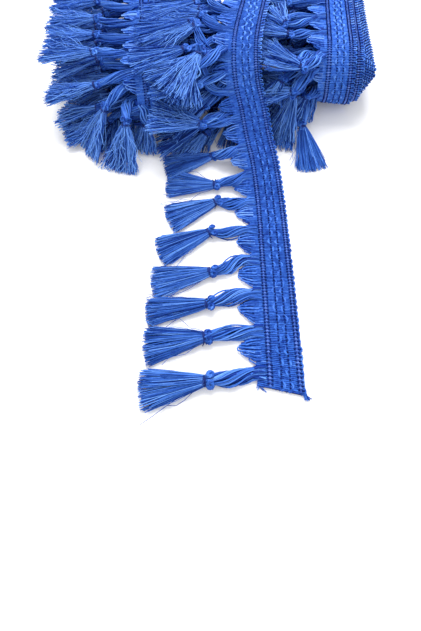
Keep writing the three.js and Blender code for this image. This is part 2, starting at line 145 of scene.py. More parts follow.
# Tassels of the coils: the root's distance from the coil's front and its height, then as above.
LEFT_TASSELS = [
    (8, 30, (-53.5, 21.0, 27.0), (-58.4, 2.0, 1.3), 19.0),
    (13, 38, (-67.5, 31.5, 29.0), (-83.5, 18.0, 2.5), 21.0),
    (10, 20, (-68.0, 36.5, 13.0), (-98.0, 28.0, 4.5), 13.0),
    (20, 42, (-73.5, 45.5, 36.0), (-107.5, 44.0, 27.0), 11.5),
    (37, 43, (-76.5, 66.5, 46.0), (-112.0, 69.0, 42.5), 17.0),
    (54, 43, (-78.5, 86.0, 45.0), (-113.5, 90.0, 41.0), 16.5),
    (72, 43, (-81.0, 105.0, 45.0), (-116.0, 110.5, 40.0), 17.0),
    (93, 43, (-83.5, 126.5, 45.0), (-118.5, 132.0, 40.0), 17.0),
    (113, 43, (-86.0, 147.5, 45.0), (-121.0, 153.0, 40.0), 17.0),
    (133, 43, (-88.0, 168.0, 44.0), (-122.5, 174.0, 39.0), 17.0),
    (153, 43, (-90.0, 188.5, 44.0), (-124.0, 195.0, 38.0), 17.0),
    (172, 42, (-91.5, 208.5, 42.0), (-124.0, 216.5, 34.0), 17.0),
    (27, 32, (-74.0, 56.5, 28.0), (-105.5, 58.5, 17.0), 14.0),
    (46, 28, (-76.0, 77.0, 24.0), (-108.0, 79.5, 15.0), 15.0),
    (66, 28, (-78.5, 97.5, 24.0), (-110.5, 101.0, 15.0), 15.0),
    (88, 28, (-81.0, 119.0, 24.0), (-113.0, 123.5, 15.0), 15.0),
    (112, 28, (-84.0, 144.0, 24.0), (-116.0, 148.5, 15.0), 15.0),
    (138, 28, (-87.0, 170.0, 24.0), (-119.0, 175.0, 15.0), 15.0),
]
RIGHT_TASSELS = [
    (6, 15, (62.5, 34.0, 10.0), (67.0, 3.5, 1.3), 17.0),
    (6, 33, (54.0, 42.0, 31.0), (36.5, 60.0, 25.5), 13.0),
    (13, 43, (57.0, 57.5, 45.5), (29.5, 70.5, 44.5), 16.0),
    (32, 46, (54.0, 82.5, 47.5), (23.0, 91.0, 49.3), 16.0),
    (52, 46, (54.0, 101.0, 47.5), (24.5, 110.5, 49.3), 16.0),
    (71, 46, (57.0, 121.5, 47.5), (27.5, 131.0, 49.3), 16.0),
    (91, 46, (60.5, 142.5, 47.5), (30.5, 152.0, 49.3), 16.0),
    (110, 46, (63.0, 162.0, 47.0), (33.0, 171.5, 48.5), 16.0),
    (130, 46, (65.5, 182.0, 46.0), (35.5, 191.0, 44.5), 16.0),
    (149, 45, (68.5, 202.0, 43.0), (40.0, 208.5, 36.0), 15.0),
    (169, 42, (71.5, 221.5, 38.0), (64.0, 250.0, 24.0), 15.0),
    (62, 27, (55.0, 115.0, 24.0), (23.0, 121.0, 20.0), 16.0),
    (98, 27, (59.0, 151.0, 24.0), (27.0, 157.0, 20.0), 16.0),
    (134, 27, (64.0, 186.5, 24.0), (32.5, 190.0, 19.0), 15.0),
    (15, 25, (53.0, 63.0, 23.0), (22.0, 73.0, 22.0), 16.0),
]
TOP_ROW_HEIGHT = 40  # roots above this leave the top turn of a coil
FRONT_ROOTS = 16  # roots nearer the front of a coil than this have tassels that show as well
# Yarns in a skirt: on the loose end, on the crossing run, and on a coil where it shows or is buried.
LOOSE_YARNS = 265
CROSSING_YARNS = 110
COIL_YARNS = 235
BURIED_YARNS = 100


# Lines, yarns and pieces.


def unit(v):
    """Vectors of length one in the same directions."""
    return v / np.linalg.norm(v, axis=-1, keepdims=True)


def seeded(name, *more):
    """Random numbers of a piece's own, the same on each run."""
    return np.random.default_rng([SEED, sum(name.encode()), *more])


def smooth_line(points, steps=24):
    """A centripetal Catmull-Rom line through the points."""
    padded = np.vstack([2 * points[0] - points[1], points, 2 * points[-1] - points[-2]])
    u = np.linspace(0, 1, steps, endpoint=False)[:, None]
    parts = []
    for p0, p1, p2, p3 in zip(padded, padded[1:], padded[2:], padded[3:]):
        d01, d12, d23 = (np.linalg.norm(b - a) ** 0.5 for a, b in ((p0, p1), (p1, p2), (p2, p3)))
        leave = p2 - p1 + d12 * ((p1 - p0) / d01 - (p2 - p0) / (d01 + d12))
        arrive = p2 - p1 + d12 * ((p3 - p2) / d23 - (p3 - p1) / (d12 + d23))
        parts.append(
            (2 * u**3 - 3 * u**2 + 1) * p1
            + (u**3 - 2 * u**2 + u) * leave
            + (3 * u**2 - 2 * u**3) * p2
            + (u**3 - u**2) * arrive
        )
    return np.vstack([*parts, points[-1:]])


class Run:
    """A length of braid: the line along its back, and the directions across it and out of its face."""

    STEP = 0.5

    def __init__(self, line, side):
        gone = np.concatenate([[0], np.cumsum(np.linalg.norm(np.diff(line, axis=0), axis=1))])
        self.length = gone[-1]
        count = int(self.length / self.STEP) + 2
        at = np.linspace(0, self.length, count)
        self.gap = at[1]
        self.line = np.stack([np.interp(at, gone, line[:, k]) for k in range(3)], axis=1)
        self.line[:, 2] = np.maximum(0, self.line[:, 2])
        self.along = unit(np.gradient(self.line, axis=0))
        side = np.broadcast_to(side, self.along.shape)
        self.right = unit(side - self.along * (side * self.along).sum(1, keepdims=True))
        self.face = np.cross(self.right, self.along)

    def place(self, s, t, h):
        """Points at s along, t across and h above the back. Past an end the line goes straight on."""
        s, t, h = np.broadcast_arrays(np.asarray(s, float), t, h)
        held = np.clip(s, 0, self.length)
        low = np.minimum((held / self.gap).astype(int), len(self.line) - 2)
        share = (held / self.gap - low)[..., None]

        def mix(table):
            return table[low] * (1 - share) + table[low + 1] * share

        past = (s - held)[..., None]
        return (
            mix(self.line)
            + mix(self.along) * past
            + mix(self.right) * t[..., None]
            + mix(self.face) * h[..., None]
        )

    def outwards(self, s):
        """The direction across the braid towards its tassels."""
        return self.place(s, -1.0, 0.0) - self.place(s, 0.0, 0.0)


class Strands:
    """Many yarns as lines, with a radius at each point and a tone for each yarn or point."""

    def __init__(self):
        self.lines, self.radii, self.tones = [], [], []

    def add(self, lines, radius, tone=0.0):
        """lines is an array of yarns, each a row of points."""
        lines = np.asarray(lines, float)
        count, points = lines.shape[:2]
        self.lines.append(lines)
        self.radii.append(np.broadcast_to(radius, (count, points)))
        tone = np.asarray(tone, float)
        self.tones.append(np.broadcast_to(tone[:, None] if tone.ndim == 1 else tone, (count, points)))

    def mesh(self, name):
        """A mesh of edges alone, in metres from the part's origin."""
        co = np.concatenate([a.reshape(-1, 3) for a in self.lines])
        first, edges = 0, []
        for a in self.lines:
            count, points = a.shape[:2]
            start = first + np.arange(count)[:, None] * points + np.arange(points - 1)
            edges.append(np.stack([start, start + 1], axis=-1).reshape(-1, 2))
            first += count * points
        edges = np.concatenate(edges)
        mesh = bpy.data.meshes.new(name)
        mesh.vertices.add(len(co))
        mesh.vertices.foreach_set("co", ((co - MIDDLE) * METRES).astype(np.float32).ravel())
        mesh.edges.add(len(edges))
        mesh.edges.foreach_set("vertices", edges.astype(np.int32).ravel())
        for title, parts, scale in (("thickness", self.radii, METRES), ("tone", self.tones, 1.0)):
            values = np.concatenate([p.ravel() for p in parts]) * scale
            mesh.attributes.new(title, "FLOAT", "POINT").data.foreach_set("value", values.astype(np.float32))
        return mesh


YARN_SIDES = 3
YARN_SWELL = 1.21  # how much larger a section of three sides is drawn, to look as thick as a round yarn


def yarn_tree():
    """Geometry Nodes that sweep a section of a few sides along a mesh of edges, and its inputs by name."""
    tree = bpy.data.node_groups.new("Yarn along lines", "GeometryNodeTree")
    face = tree.interface
    inputs = {}
    for title, kind in (("Lines", "Geometry"), ("Sides", "Int"), ("Swell", "Float"), ("Finish", "Material")):
        socket = face.new_socket(title, in_out="INPUT", socket_type="NodeSocket" + kind)
        inputs[title] = socket.identifier
    face.new_socket("Yarn", in_out="OUTPUT", socket_type="NodeSocketGeometry")
    new = tree.nodes.new
    given, made = new("NodeGroupInput"), new("NodeGroupOutput")
    curve, section = new("GeometryNodeMeshToCurve"), new("GeometryNodeCurvePrimitiveCircle")
    thickness, sweep = new("GeometryNodeInputNamedAttribute"), new("GeometryNodeCurveToMesh")
    smooth, realize = new("GeometryNodeSetShadeSmooth"), new("GeometryNodeRealizeInstances")
    paint = new("GeometryNodeSetMaterial")
    thickness.inputs["Name"].default_value = "thickness"
    sweep.inputs["Fill Caps"].default_value = True
    for out, into in (
        (given.outputs["Lines"], curve.inputs["Mesh"]),
        (given.outputs["Sides"], section.inputs["Resolution"]),
        (given.outputs["Swell"], section.inputs["Radius"]),
        (curve.outputs["Curve"], sweep.inputs["Curve"]),
        (section.outputs["Curve"], sweep.inputs["Profile Curve"]),
        (thickness.outputs["Attribute"], sweep.inputs["Scale"]),
        (sweep.outputs["Mesh"], smooth.inputs["Geometry"]),
        (smooth.outputs["Geometry"], realize.inputs["Geometry"]),
        (realize.outputs["Geometry"], paint.inputs["Geometry"]),
        (given.outputs["Finish"], paint.inputs["Material"]),
        (paint.outputs["Geometry"], made.inputs["Yarn"]),
    ):
        tree.links.new(out, into)
    return tree, inputs


YARN_TREE, YARN_INPUTS = yarn_tree()


def yarn_piece(name, strands, finish, replaces=None):
    """A piece of many yarns, swept by the yarn tree and kept as a plain mesh."""
    piece = bpy.data.objects.new(name, strands.mesh(name + "_lines"))
    bpy.context.scene.collection.objects.link(piece)
    sweep = piece.modifiers.new("yarn", "NODES")
    sweep.node_group = YARN_TREE
    sweep[YARN_INPUTS["Sides"]] = YARN_SIDES
    sweep[YARN_INPUTS["Swell"]] = YARN_SWELL
    sweep[YARN_INPUTS["Finish"]] = finish
    lines = piece.data
    evaluated = piece.evaluated_get(bpy.context.evaluated_depsgraph_get())
    made = bpy.data.meshes.new_from_object(evaluated)
    piece.modifiers.clear()
    piece.data = made
    made.name = name
    bpy.data.meshes.remove(lines)
    made.attributes.remove(made.attributes["thickness"])
    return settle(piece, replaces)


def solid_piece(name, points, faces, finish):
    """An object of the given faces, in metres from the part's origin."""
    mesh = bpy.data.meshes.new(name)
    mesh.from_pydata(((points - MIDDLE) * METRES).tolist(), [], faces)
    mesh.materials.append(finish)
    mesh.validate()
    mesh.update()
    piece = bpy.data.objects.new(name, mesh)
    bpy.context.scene.collection.objects.link(piece)
    return piece


def settle(piece, replaces=None):
    """What every piece of the trim is told: its body and the solid it stands for."""
    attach(piece, "root")
    if replaces:
        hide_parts(replaces)
    return piece


# Finishes.

# Patches in the dye: the input that weighs them, their scale and detail. The last kind is also the relief.
DYE_PATCHES = (("Drift", 60.0, 1.0), ("Flicker", 600.0, 2.0))
# The two colours that a tone lies between: the brighter one, and the tone where the darker one ends.
DYE_STEPS = (("Middle", -1.0), ("Bright", 0.0))
MIX_FIRST, MIX_SECOND, MIX_RESULT = 6, 7, 2  # the colour sockets of a Mix node
RELIEF_STRENGTH = 0.4
YARN_GLOSS = 0.14


def group_of(name, inputs, outputs):
    """An empty shader group with named sockets, and its input and output nodes."""
    group = bpy.data.node_groups.new(name, "ShaderNodeTree")
    for title, kind, value in inputs:
        socket = group.interface.new_socket(title, in_out="INPUT", socket_type="NodeSocket" + kind)
        socket.default_value = value
    for title, kind in outputs:
        group.interface.new_socket(title, in_out="OUTPUT", socket_type="NodeSocket" + kind)
    return group, group.nodes.new("NodeGroupInput"), group.nodes.new("NodeGroupOutput")


def dyed_yarn_group():
    """Colour of dyed yarn: each yarn's own tone, with a slow drift and a fine flicker along it."""
    group, given, made = group_of(
        "Dyed yarn",
        [
            ("Tone", "Float", 0.0),
            ("Deep", "Color", (0, 0, 0, 1)),
            ("Middle", "Color", (0, 0, 0, 1)),
            ("Bright", "Color", (0, 0, 0, 1)),
            ("Drift", "Float", 0.3),
            ("Flicker", "Float", 0.4),
        ],
        [("Color", "Color"), ("Height", "Float")],
    )
    new, link = group.nodes.new, group.links.new
    place = new("ShaderNodeTexCoord")
    tone = given.outputs["Tone"]
    for title, scale, detail in DYE_PATCHES:
        noise, centred, weighed = new("ShaderNodeTexNoise"), new("ShaderNodeMath"), new("ShaderNodeMath")
        noise.inputs["Scale"].default_value = scale
        noise.inputs["Detail"].default_value = detail
        centred.operation = "SUBTRACT"
        centred.inputs[1].default_value = 0.5
        weighed.operation = "MULTIPLY_ADD"
        link(place.outputs["Object"], noise.inputs["Vector"])
        link(noise.outputs["Fac"], centred.inputs[0])
        link(centred.outputs[0], weighed.inputs[0])
        link(given.outputs[title], weighed.inputs[1])
        link(tone, weighed.inputs[2])
        tone = weighed.outputs[0]
    link(noise.outputs["Fac"], made.inputs["Height"])
    colour = given.outputs["Deep"]
    for title, low in DYE_STEPS:
        share, mix = new("ShaderNodeMapRange"), new("ShaderNodeMix")
        share.inputs["From Min"].default_value = low
        share.inputs["From Max"].default_value = low + 1.0
        mix.data_type = "RGBA"
        link(tone, share.inputs["Value"])
        link(share.outputs["Result"], mix.inputs["Factor"])
        link(colour, mix.inputs[MIX_FIRST])
        link(given.outputs[title], mix.inputs[MIX_SECOND])
        colour = mix.outputs[MIX_RESULT]
    link(colour, made.inputs["Color"])
    return group


DYED_YARN = dyed_yarn_group()


def yarn_finish(name, deep, middle, bright, roughness, relief=0.0002, drift=0.5, flicker=0.5):
    """A dyed yarn material. The three colours are for tones -1, 0 and 1, and relief is in metres."""
    finish = bpy.data.materials.new(name)
    finish.use_nodes = True
    nodes, link = finish.node_tree.nodes, finish.node_tree.links.new
    shader = nodes["Principled BSDF"]
    tone, dye = nodes.new("ShaderNodeAttribute"), nodes.new("ShaderNodeGroup")
    bump = nodes.new("ShaderNodeBump")
    tone.attribute_name = "tone"
    dye.node_tree = DYED_YARN
    for title, colour in (("Deep", deep), ("Middle", middle), ("Bright", bright)):
        dye.inputs[title].default_value = (*colour, 1.0)
    dye.inputs["Drift"].default_value = drift
    dye.inputs["Flicker"].default_value = flicker
    bump.inputs["Strength"].default_value = RELIEF_STRENGTH
    bump.inputs["Distance"].default_value = relief
    shader.inputs["Roughness"].default_value = roughness
    shader.inputs["Specular IOR Level"].default_value = YARN_GLOSS
    link(tone.outputs["Fac"], dye.inputs["Tone"])
    link(dye.outputs["Color"], shader.inputs["Base Color"])
    link(dye.outputs["Height"], bump.inputs["Height"])
    link(bump.outputs["Normal"], shader.inputs["Normal"])
    return finish


TASSEL_YARN = yarn_finish(
    "tassel_yarn",
    deep=(0.003, 0.034, 0.27),
    middle=(0.042, 0.156, 0.61),
    bright=(0.17, 0.39, 0.93),
    roughness=0.45,
)
WEFT_YARN = yarn_finish(
    "weft_yarn",
    deep=(0.003, 0.034, 0.30),
    middle=(0.044, 0.172, 0.68),
    bright=(0.18, 0.37, 0.86),
    roughness=0.5,
    relief=0.0007,
    drift=0.6,
    flicker=1.7,
)
GIMP_CORD = yarn_finish(
    "gimp_cord",
    deep=(0.004, 0.038, 0.32),
    middle=(0.046, 0.175, 0.68),
    bright=(0.18, 0.37, 0.86),
    roughness=0.45,
    relief=0.0005,
    flicker=1.0,
)
CHAIN_THREAD = yarn_finish(
    "chain_thread",
    deep=(0.012, 0.045, 0.32),
    middle=(0.070, 0.165, 0.60),
    bright=(0.18, 0.30, 0.82),
    roughness=0.45,
)
# Dark thread of the stitches; the same fills the loops of the plain edge, where it is painted shade.
BINDING_AND_SHADE = yarn_finish(
    "binding_thread_and_shade",
    deep=(0.0005, 0.005, 0.07),
    middle=(0.001, 0.010, 0.12),
    bright=(0.003, 0.025, 0.24),
    roughness=0.8,
)
TIE_THREAD = yarn_finish(
    "tie_thread",
    deep=(0.003, 0.009, 0.08),
    middle=(0.009, 0.026, 0.17),
    bright=(0.03, 0.08, 0.36),
    roughness=0.5,
)
# Painted shade: the cloth behind the ribs is drawn near black, for the shade seen through the weave and
# between the turns.
SHADE_GROUND = yarn_finish(
    "ground_painted_shade",
    deep=(0.0008, 0.006, 0.08),
    middle=(0.0016, 0.013, 0.15),
    bright=(0.005, 0.03, 0.24),
    roughness=0.8,
)


# The weave of a braid. Tones are given as a middle and a spread.

# The braid lies flat near its cut end and springs up over the hank: places, and how far.
SPRINGS_UP = ([150.0, 212.0], [0.0, 1.0])
COIL_SPRING = ([0.0, 1.0], [0.9, 0.9])  # all along the braid of a coil
# Painted shade: the weave is drawn darker where the braid lies low, as it gets less light there than over the
# hank.
LOW_RUN_PAINTED_SHADE = -0.26
YARN_STRAY = 0.08  # how far yarns of the weave stray from their places
LOOP_STRAY = 0.15  # how far loops at its edges do

# Ribs: where they start, their points in about these steps, and how bright they are across the braid.
RIB_START = 11.1
RIB_STEP = 3.2
RIB_STRAY = 0.06
RIB_SHADES = ([-9.0, -7.0, -3.4, -2.6, 6.8, 7.4], [0.0, 0.05, 0.0, -0.12, -0.12, 0.0])
RIB_SPREADS = (0.12, 0.2)  # of tones from rib to rib, and along one
TWO_YARNS = {"sides": (-1, 1), "apart": 0.40, "radius": 0.42, "height": 1.3}
ONE_YARN = {"sides": (0,), "apart": 0.0, "radius": 0.72, "height": 1.05}
UNDERSIDE_EDGE = np.array([8.2, 11.9])
UNDERSIDE_HEIGHT = 1.2
UNDERSIDE_RADIUS = 0.85
UNDERSIDE_TONES = (-0.1, 0.25)

STITCH_HALF = 0.40
STITCH_RADIUS = 0.40
STITCH_SWELL = 0.06  # how much thicker they look where the weave springs up
STITCH_HEIGHT = 1.9
STITCH_TONES = (0.0, 0.4)

# A chain: three points of a bead across it, and the thread that joins the beads.
BEAD_ACROSS = np.array([0.6, 0.0, -0.6])
BEAD_HEIGHTS = np.array([1.7, 2.0, 1.7])
BEAD_RADII = np.array([0.36, 0.46, 0.36])
BEAD_STRAY = 0.05
BEAD_TONES = (-0.05, 0.3)
BEAD_PAINTED_LIGHT = 0.45  # BEAD_PAINTED_LIGHT = 0.45 # painted light: how much brighter the beads are drawn where the weave springs up
LINK_HEIGHT = 1.5
LINK_RADIUS = 0.42
LINK_TONE = -0.15
LINK_SINKS_AND_SHADE = 0.8  # LINK_SINKS_AND_SHADE = 0.8 # how far the thread sinks where the weave springs up, and how much darker it is drawn there as painted shade

# A wavy cord: its plies, their turn and places round its middle, and how it strays from its line. A pair is
# what holds where the braid is pressed flat, and what is added where it springs up.
GIMP_PLIES = 2
GIMP_STEP = 0.9
GIMP_TURN = 4.2
GIMP_HALF_WIDTH = 0.42
GIMP_HALF_HEIGHT = 0.2
GIMP_RADIUS = 0.5
GIMP_BEND = 0.3
GIMP_BEND_STEP = 8.0
GIMP_SHIFT = 0.4
GIMP_HEIGHT = (1.2, 0.25)
GIMP_RISE = (0.2, 0.35)  # of its bows, which are free between the stitches
GIMP_PAINTED_HIGHLIGHT = (0.4, 0.15)  # GIMP_PAINTED_HIGHLIGHT = (0.4, 0.15) # painted highlight: how much brighter the raised bows are drawn, and the sunk parts darker
GIMP_SWELL = 0.08
GIMP_TONE = -0.15
GIMP_PLY_STEP = 0.35  # from the tone of one ply to the next
GIMP_STITCH_ABOVE = (0.55, -0.9)
GIMP_STITCH_HEIGHT = (STITCH_HEIGHT, -0.2)  # the lowest

# A loop of the plain edge: its points along the edge, and how far out each lies as a share of its reach.
PICOT_ALONG = np.array([-0.5, -0.8, -0.75, 0.0, 0.75, 0.8, 0.5])
PICOT_OUT = np.array([0.0, 0.45, 0.85, 1.0, 0.85, 0.45, 0.0])
PICOT_ROOT = 10.3
PICOT_SPREAD = 0.1  # of their lengths along the edge
PICOT_HEIGHT = 1.3
PICOT_RISE = 0.3
PICOT_RADIUS = 0.36
PICOT_TONES = (0.15, 0.3)
PICOT_SHADE_TIMES = 1.4  # PICOT_SHADE_TIMES = 1.4 # where the braid lies flat, their painted shade is this many times that of the rest
# A dark thread inside each loop: painted shade in the loop's hole.
PICOT_SHADE_INSETS = (0.2, 0.15)
PICOT_SHADE_RADIUS = 0.6
PICOT_SHADE_TONES = (0.3, 0.3)

# A scallop's loops: distance from its middle along the braid, and reach past the braid.
SCALLOP_LOOPS = np.array([(-5.2, 4.0), (-3.2, 6.2), (-1.2, 7.5), (0.9, 8.1), (3.0, 7.8), (5.0, 6.0)])
SCALLOP_HEAD = 1.6  # the loops are drawn towards this place at their outer ends
SCALLOP_GATHER = 0.42
SCALLOP_PAST = 6.0  # middles may lie this far past an end of the braid
SCALLOP_INSET = 0.9  # and loops start this far inside it
SCALLOP_STRAY = 0.22
SCALLOP_LOW = 0.45  # the lowest that a loop lies
LOOP_SIDES = np.array([0.7, 0.68, 0.72, 0.9, 0.62, 0.0, -0.62, -0.9, -0.72, -0.68, -0.7])
LOOP_REACHES = np.array([-0.30, 0.0, 0.5, 0.86, 0.97, 1.0, 0.97, 0.86, 0.5, 0.0, -0.30])
LOOP_HOLD = 8.0  # a reach below 0 is a share of this, and lies inside the braid
LOOP_CURVE = 1.3
LOOP_SPREADS = (0.08, 0.3, 0.14)  # of their reaches, of their leans and of their widths
LOOP_HEIGHT = 1.25
LOOP_LIFT = 0.5  # every second one lies so much higher
LOOP_ARCH = 0.4
LOOP_FIRST = 0.6  # none comes nearer the start of the braid
LOOP_RADIUS = 0.37
LOOP_TONES = (0.15, 0.45)
# A layer under the loops fills the lobe; it is drawn dark as painted shade between them.
FILL_REACHES = np.array([-0.25, 0.35, 0.95])
FILL_RADII = np.array([1.2, 1.25, 0.9])
FILL_HEIGHT = 0.75
FILL_ASIDE = 0.9
FILL_SHADE_TONES = (-0.6, 0.15)

# Frayed ends along the cut and at its far and near corner: how many, how long, and how they lean aside.
FRAY_COUNTS = (24, 14, 5)
FRAY_LENGTHS = ((0.5, 1.2), (1.6, 3.2), (1.5, 3.6))
FRAY_LEANS = ((0.0, 0.3), (1.6, 0.8), (0.8, 1.2))
FRAY_CORNERS = ((10.9, 0.6), (-10.6, 0.6))  # places across, and their spread
FRAY_SPAN = (-HALF_BAND, 11.0)
FRAY_START = 0.9
FRAY_POINTS = 4
FRAY_HEIGHT = 1.3
FRAY_LIFTS = (-0.5, 0.3)
FRAY_DROOP = 0.6
FRAY_CURVE = 1.5
FRAY_RADII = (0.26, -0.06)  # at the braid, and what is added at the end
FRAY_TONES = (-0.3, 0.3)

# The cloth behind the ribs and the woven body between them: places across, and heights.
GROUND_STEP = 2.0
GROUND_BACK = 0.05
GROUND_EDGES = (-HALF_BAND, HALF_BAND)
BODY_EDGES = (-11.3, 11.0)
BODY_HEIGHTS = (0.5, 1.3)
BODY_INSET = 0.4
BODY_TONE = -0.12


def leaning(s, t, slant):
    """Moves places near the cut end along the braid, more towards the plain edge."""
    return s - slant * np.clip(1 - s / SLANT_FADES, 0, 1) * (t + HALF_BAND) / BAND_WIDTH


def painted_low_shade(s, spring):
    """Painted shade: how much darker the weave is drawn at places along a braid, most where it lies low."""
    return LOW_RUN_PAINTED_SHADE * (1 - np.interp(s, *spring))


def grown(pair, sprung):
    """A value that changes with how far the weave springs up."""
    flat, more = pair
    return flat + more * sprung


def weave_ribs(strands, run, start, end, rng, kind, spring, last=-HALF_BAND, slant=0.0):
    """Weft ribs, of one yarn or two side by side, from the plain edge to the last place across."""
    across = np.linspace(RIB_START, last, int((RIB_START - last) / RIB_STEP) + 2)
    middles = np.arange(start + PICK / 2, end, PICK)
    shade = np.interp(across, *RIB_SHADES)
    between, along = RIB_SPREADS
    for side in kind["sides"]:
        s = leaning(middles[:, None] + 0 * across, across, slant) + side * kind["apart"]
        s = s + rng.normal(0, RIB_STRAY, s.shape)
        h = kind["height"] + rng.normal(0, RIB_STRAY, s.shape)
        tone = shade + painted_low_shade(middles, spring)[:, None] + rng.normal(0, between, (len(middles), 1))
        strands.add(run.place(s, across, h), kind["radius"], tone + rng.normal(0, along, s.shape))


def underside_ribs(strands, run, start, end, rng):
    """Short thick ribs along the plain edge of a turn, where it lies under the others and only that shows."""
    middles = np.concatenate([np.arange(PICK / 2, start, PICK), np.arange(end + PICK / 2, run.length, PICK)])
    s = middles[:, None] + rng.normal(0, YARN_STRAY, (len(middles), 2))
    t = UNDERSIDE_EDGE + rng.normal(0, LOOP_STRAY, (len(middles), 1))
    tone = rng.normal(*UNDERSIDE_TONES, len(middles))
    strands.add(run.place(s, t, UNDERSIDE_HEIGHT), UNDERSIDE_RADIUS, tone)


def stitch_column(stitches, run, start, end, across, rng, spring, slant=0.0, height=None):
    """A column of dark stitches, one between each two ribs. height says how high they lie along the braid."""
    at = np.arange(start + PICK, end - PICK / 2, PICK)
    t = across + rng.normal(0, YARN_STRAY, (len(at), 1)) + np.array([STITCH_HALF, -STITCH_HALF])
    h = STITCH_HEIGHT if height is None else np.interp(at, *height)[:, None]
    places = run.place(leaning(at[:, None] + 0 * t, t, slant), t, h)
    thick = STITCH_RADIUS + STITCH_SWELL * np.interp(at, *spring)
    stitches.add(places, thick[:, None], rng.normal(*STITCH_TONES, len(at)))


def chain_line(strands, run, start, end, across, rng, spring, slant=0.0):
    """A chain of stitches between two columns: one raised bead a rib, on a thread that joins them."""
    middles = np.arange(start + PICK / 2, end, PICK)
    sprung = np.interp(middles, *spring)
    t = across + BEAD_ACROSS
    s = leaning(middles[:, None] + 0 * t, t, slant) + rng.normal(0, BEAD_STRAY, (len(middles), len(t)))
    # Painted light: beads are drawn brighter where the weave springs up.
    tone = rng.normal(*BEAD_TONES, len(middles)) + BEAD_PAINTED_LIGHT * sprung
    strands.add(run.place(s, t, BEAD_HEIGHTS), BEAD_RADII, tone)
    # The joining thread sinks there, and is drawn darker as painted shade.
    joined = run.place(leaning(middles, across, slant), across, LINK_HEIGHT - LINK_SINKS_AND_SHADE * sprung)
    strands.add(joined[None], LINK_RADIUS, (LINK_TONE - LINK_SINKS_AND_SHADE * sprung)[None])


def gimp_cord(strands, stitches, run, start, end, across, rng, spring, slant=0.0):
    """A cord of twisted plies that swings across a column, and the dark stitches that hold it down."""
    s = np.arange(start, end, GIMP_STEP)
    bends = rng.normal(0, GIMP_BEND, int((end - start) / GIMP_BEND_STEP) + 2)
    wander = np.interp(s, np.arange(start, end + GIMP_BEND_STEP, GIMP_BEND_STEP), bends)
    angle = 2 * np.pi * s / GIMP_PERIOD + wander
    middle = across + GIMP_SWING * np.sin(angle) + GIMP_SHIFT * wander
    free = np.sin(angle) ** 2
    sprung = np.interp(s, *spring)
    height = grown(GIMP_HEIGHT, sprung) + grown(GIMP_RISE, sprung) * free
    # Painted highlight on the raised bows, and painted shade where the cord sinks.
    bright = grown(GIMP_PAINTED_HIGHLIGHT, sprung) * (free - 0.5)
    for ply in range(GIMP_PLIES):
        twist = 2 * np.pi * (s / GIMP_TURN + ply / GIMP_PLIES)
        t = middle + GIMP_HALF_WIDTH * np.cos(twist)
        line = run.place(leaning(s, middle, slant), t, height + GIMP_HALF_HEIGHT * np.sin(twist))
        tone = bright + GIMP_PLY_STEP * ply + GIMP_TONE + painted_low_shade(s, spring)
        strands.add(line[None], GIMP_RADIUS + GIMP_SWELL * free, tone[None])
    held = np.maximum(height + grown(GIMP_STITCH_ABOVE, sprung), grown(GIMP_STITCH_HEIGHT, sprung))
    stitch_column(stitches, run, start, end, across, rng, spring, slant, (s, held))


def picots(strands, stitches, run, start, end, rng, spring, reach, slant=0.0):
    """Small loops on the plain edge, one for two ribs, each filled by a dark thread that is painted shade in
    its hole. Their reach may change.
    """
    middles = np.arange(start + PICK, end - PICK, 2 * PICK)
    far = np.interp(middles, np.linspace(start, end, len(reach)), reach)
    far = far + rng.normal(0, LOOP_STRAY, len(middles))
    t = PICOT_ROOT + PICOT_OUT * (far[:, None] - PICOT_ROOT)
    long = rng.normal(1.0, PICOT_SPREAD, (len(middles), 1))
    s = leaning(middles[:, None] + PICOT_ALONG * long, t, slant)
    tone = rng.normal(*PICOT_TONES, len(middles)) + PICOT_SHADE_TIMES * painted_low_shade(middles, spring)
    strands.add(run.place(s, t, PICOT_HEIGHT + PICOT_RISE * PICOT_OUT), PICOT_RADIUS, tone)
    # A dark thread fills each loop: painted shade in its hole.
    at_root, at_head = PICOT_SHADE_INSETS
    t = np.stack([np.full_like(far, PICOT_ROOT + at_root), far - at_head], axis=1)
    shade_core = run.place(leaning(middles[:, None] + 0 * t, t, slant), t, PICOT_HEIGHT)
    stitches.add(shade_core, PICOT_SHADE_RADIUS, rng.normal(*PICOT_SHADE_TONES, len(middles)))


def past_braid(shares, reach):
    """How far past the braid the points of a loop lie."""
    return np.where(shares < 0, LOOP_HOLD * shares, shares * reach)


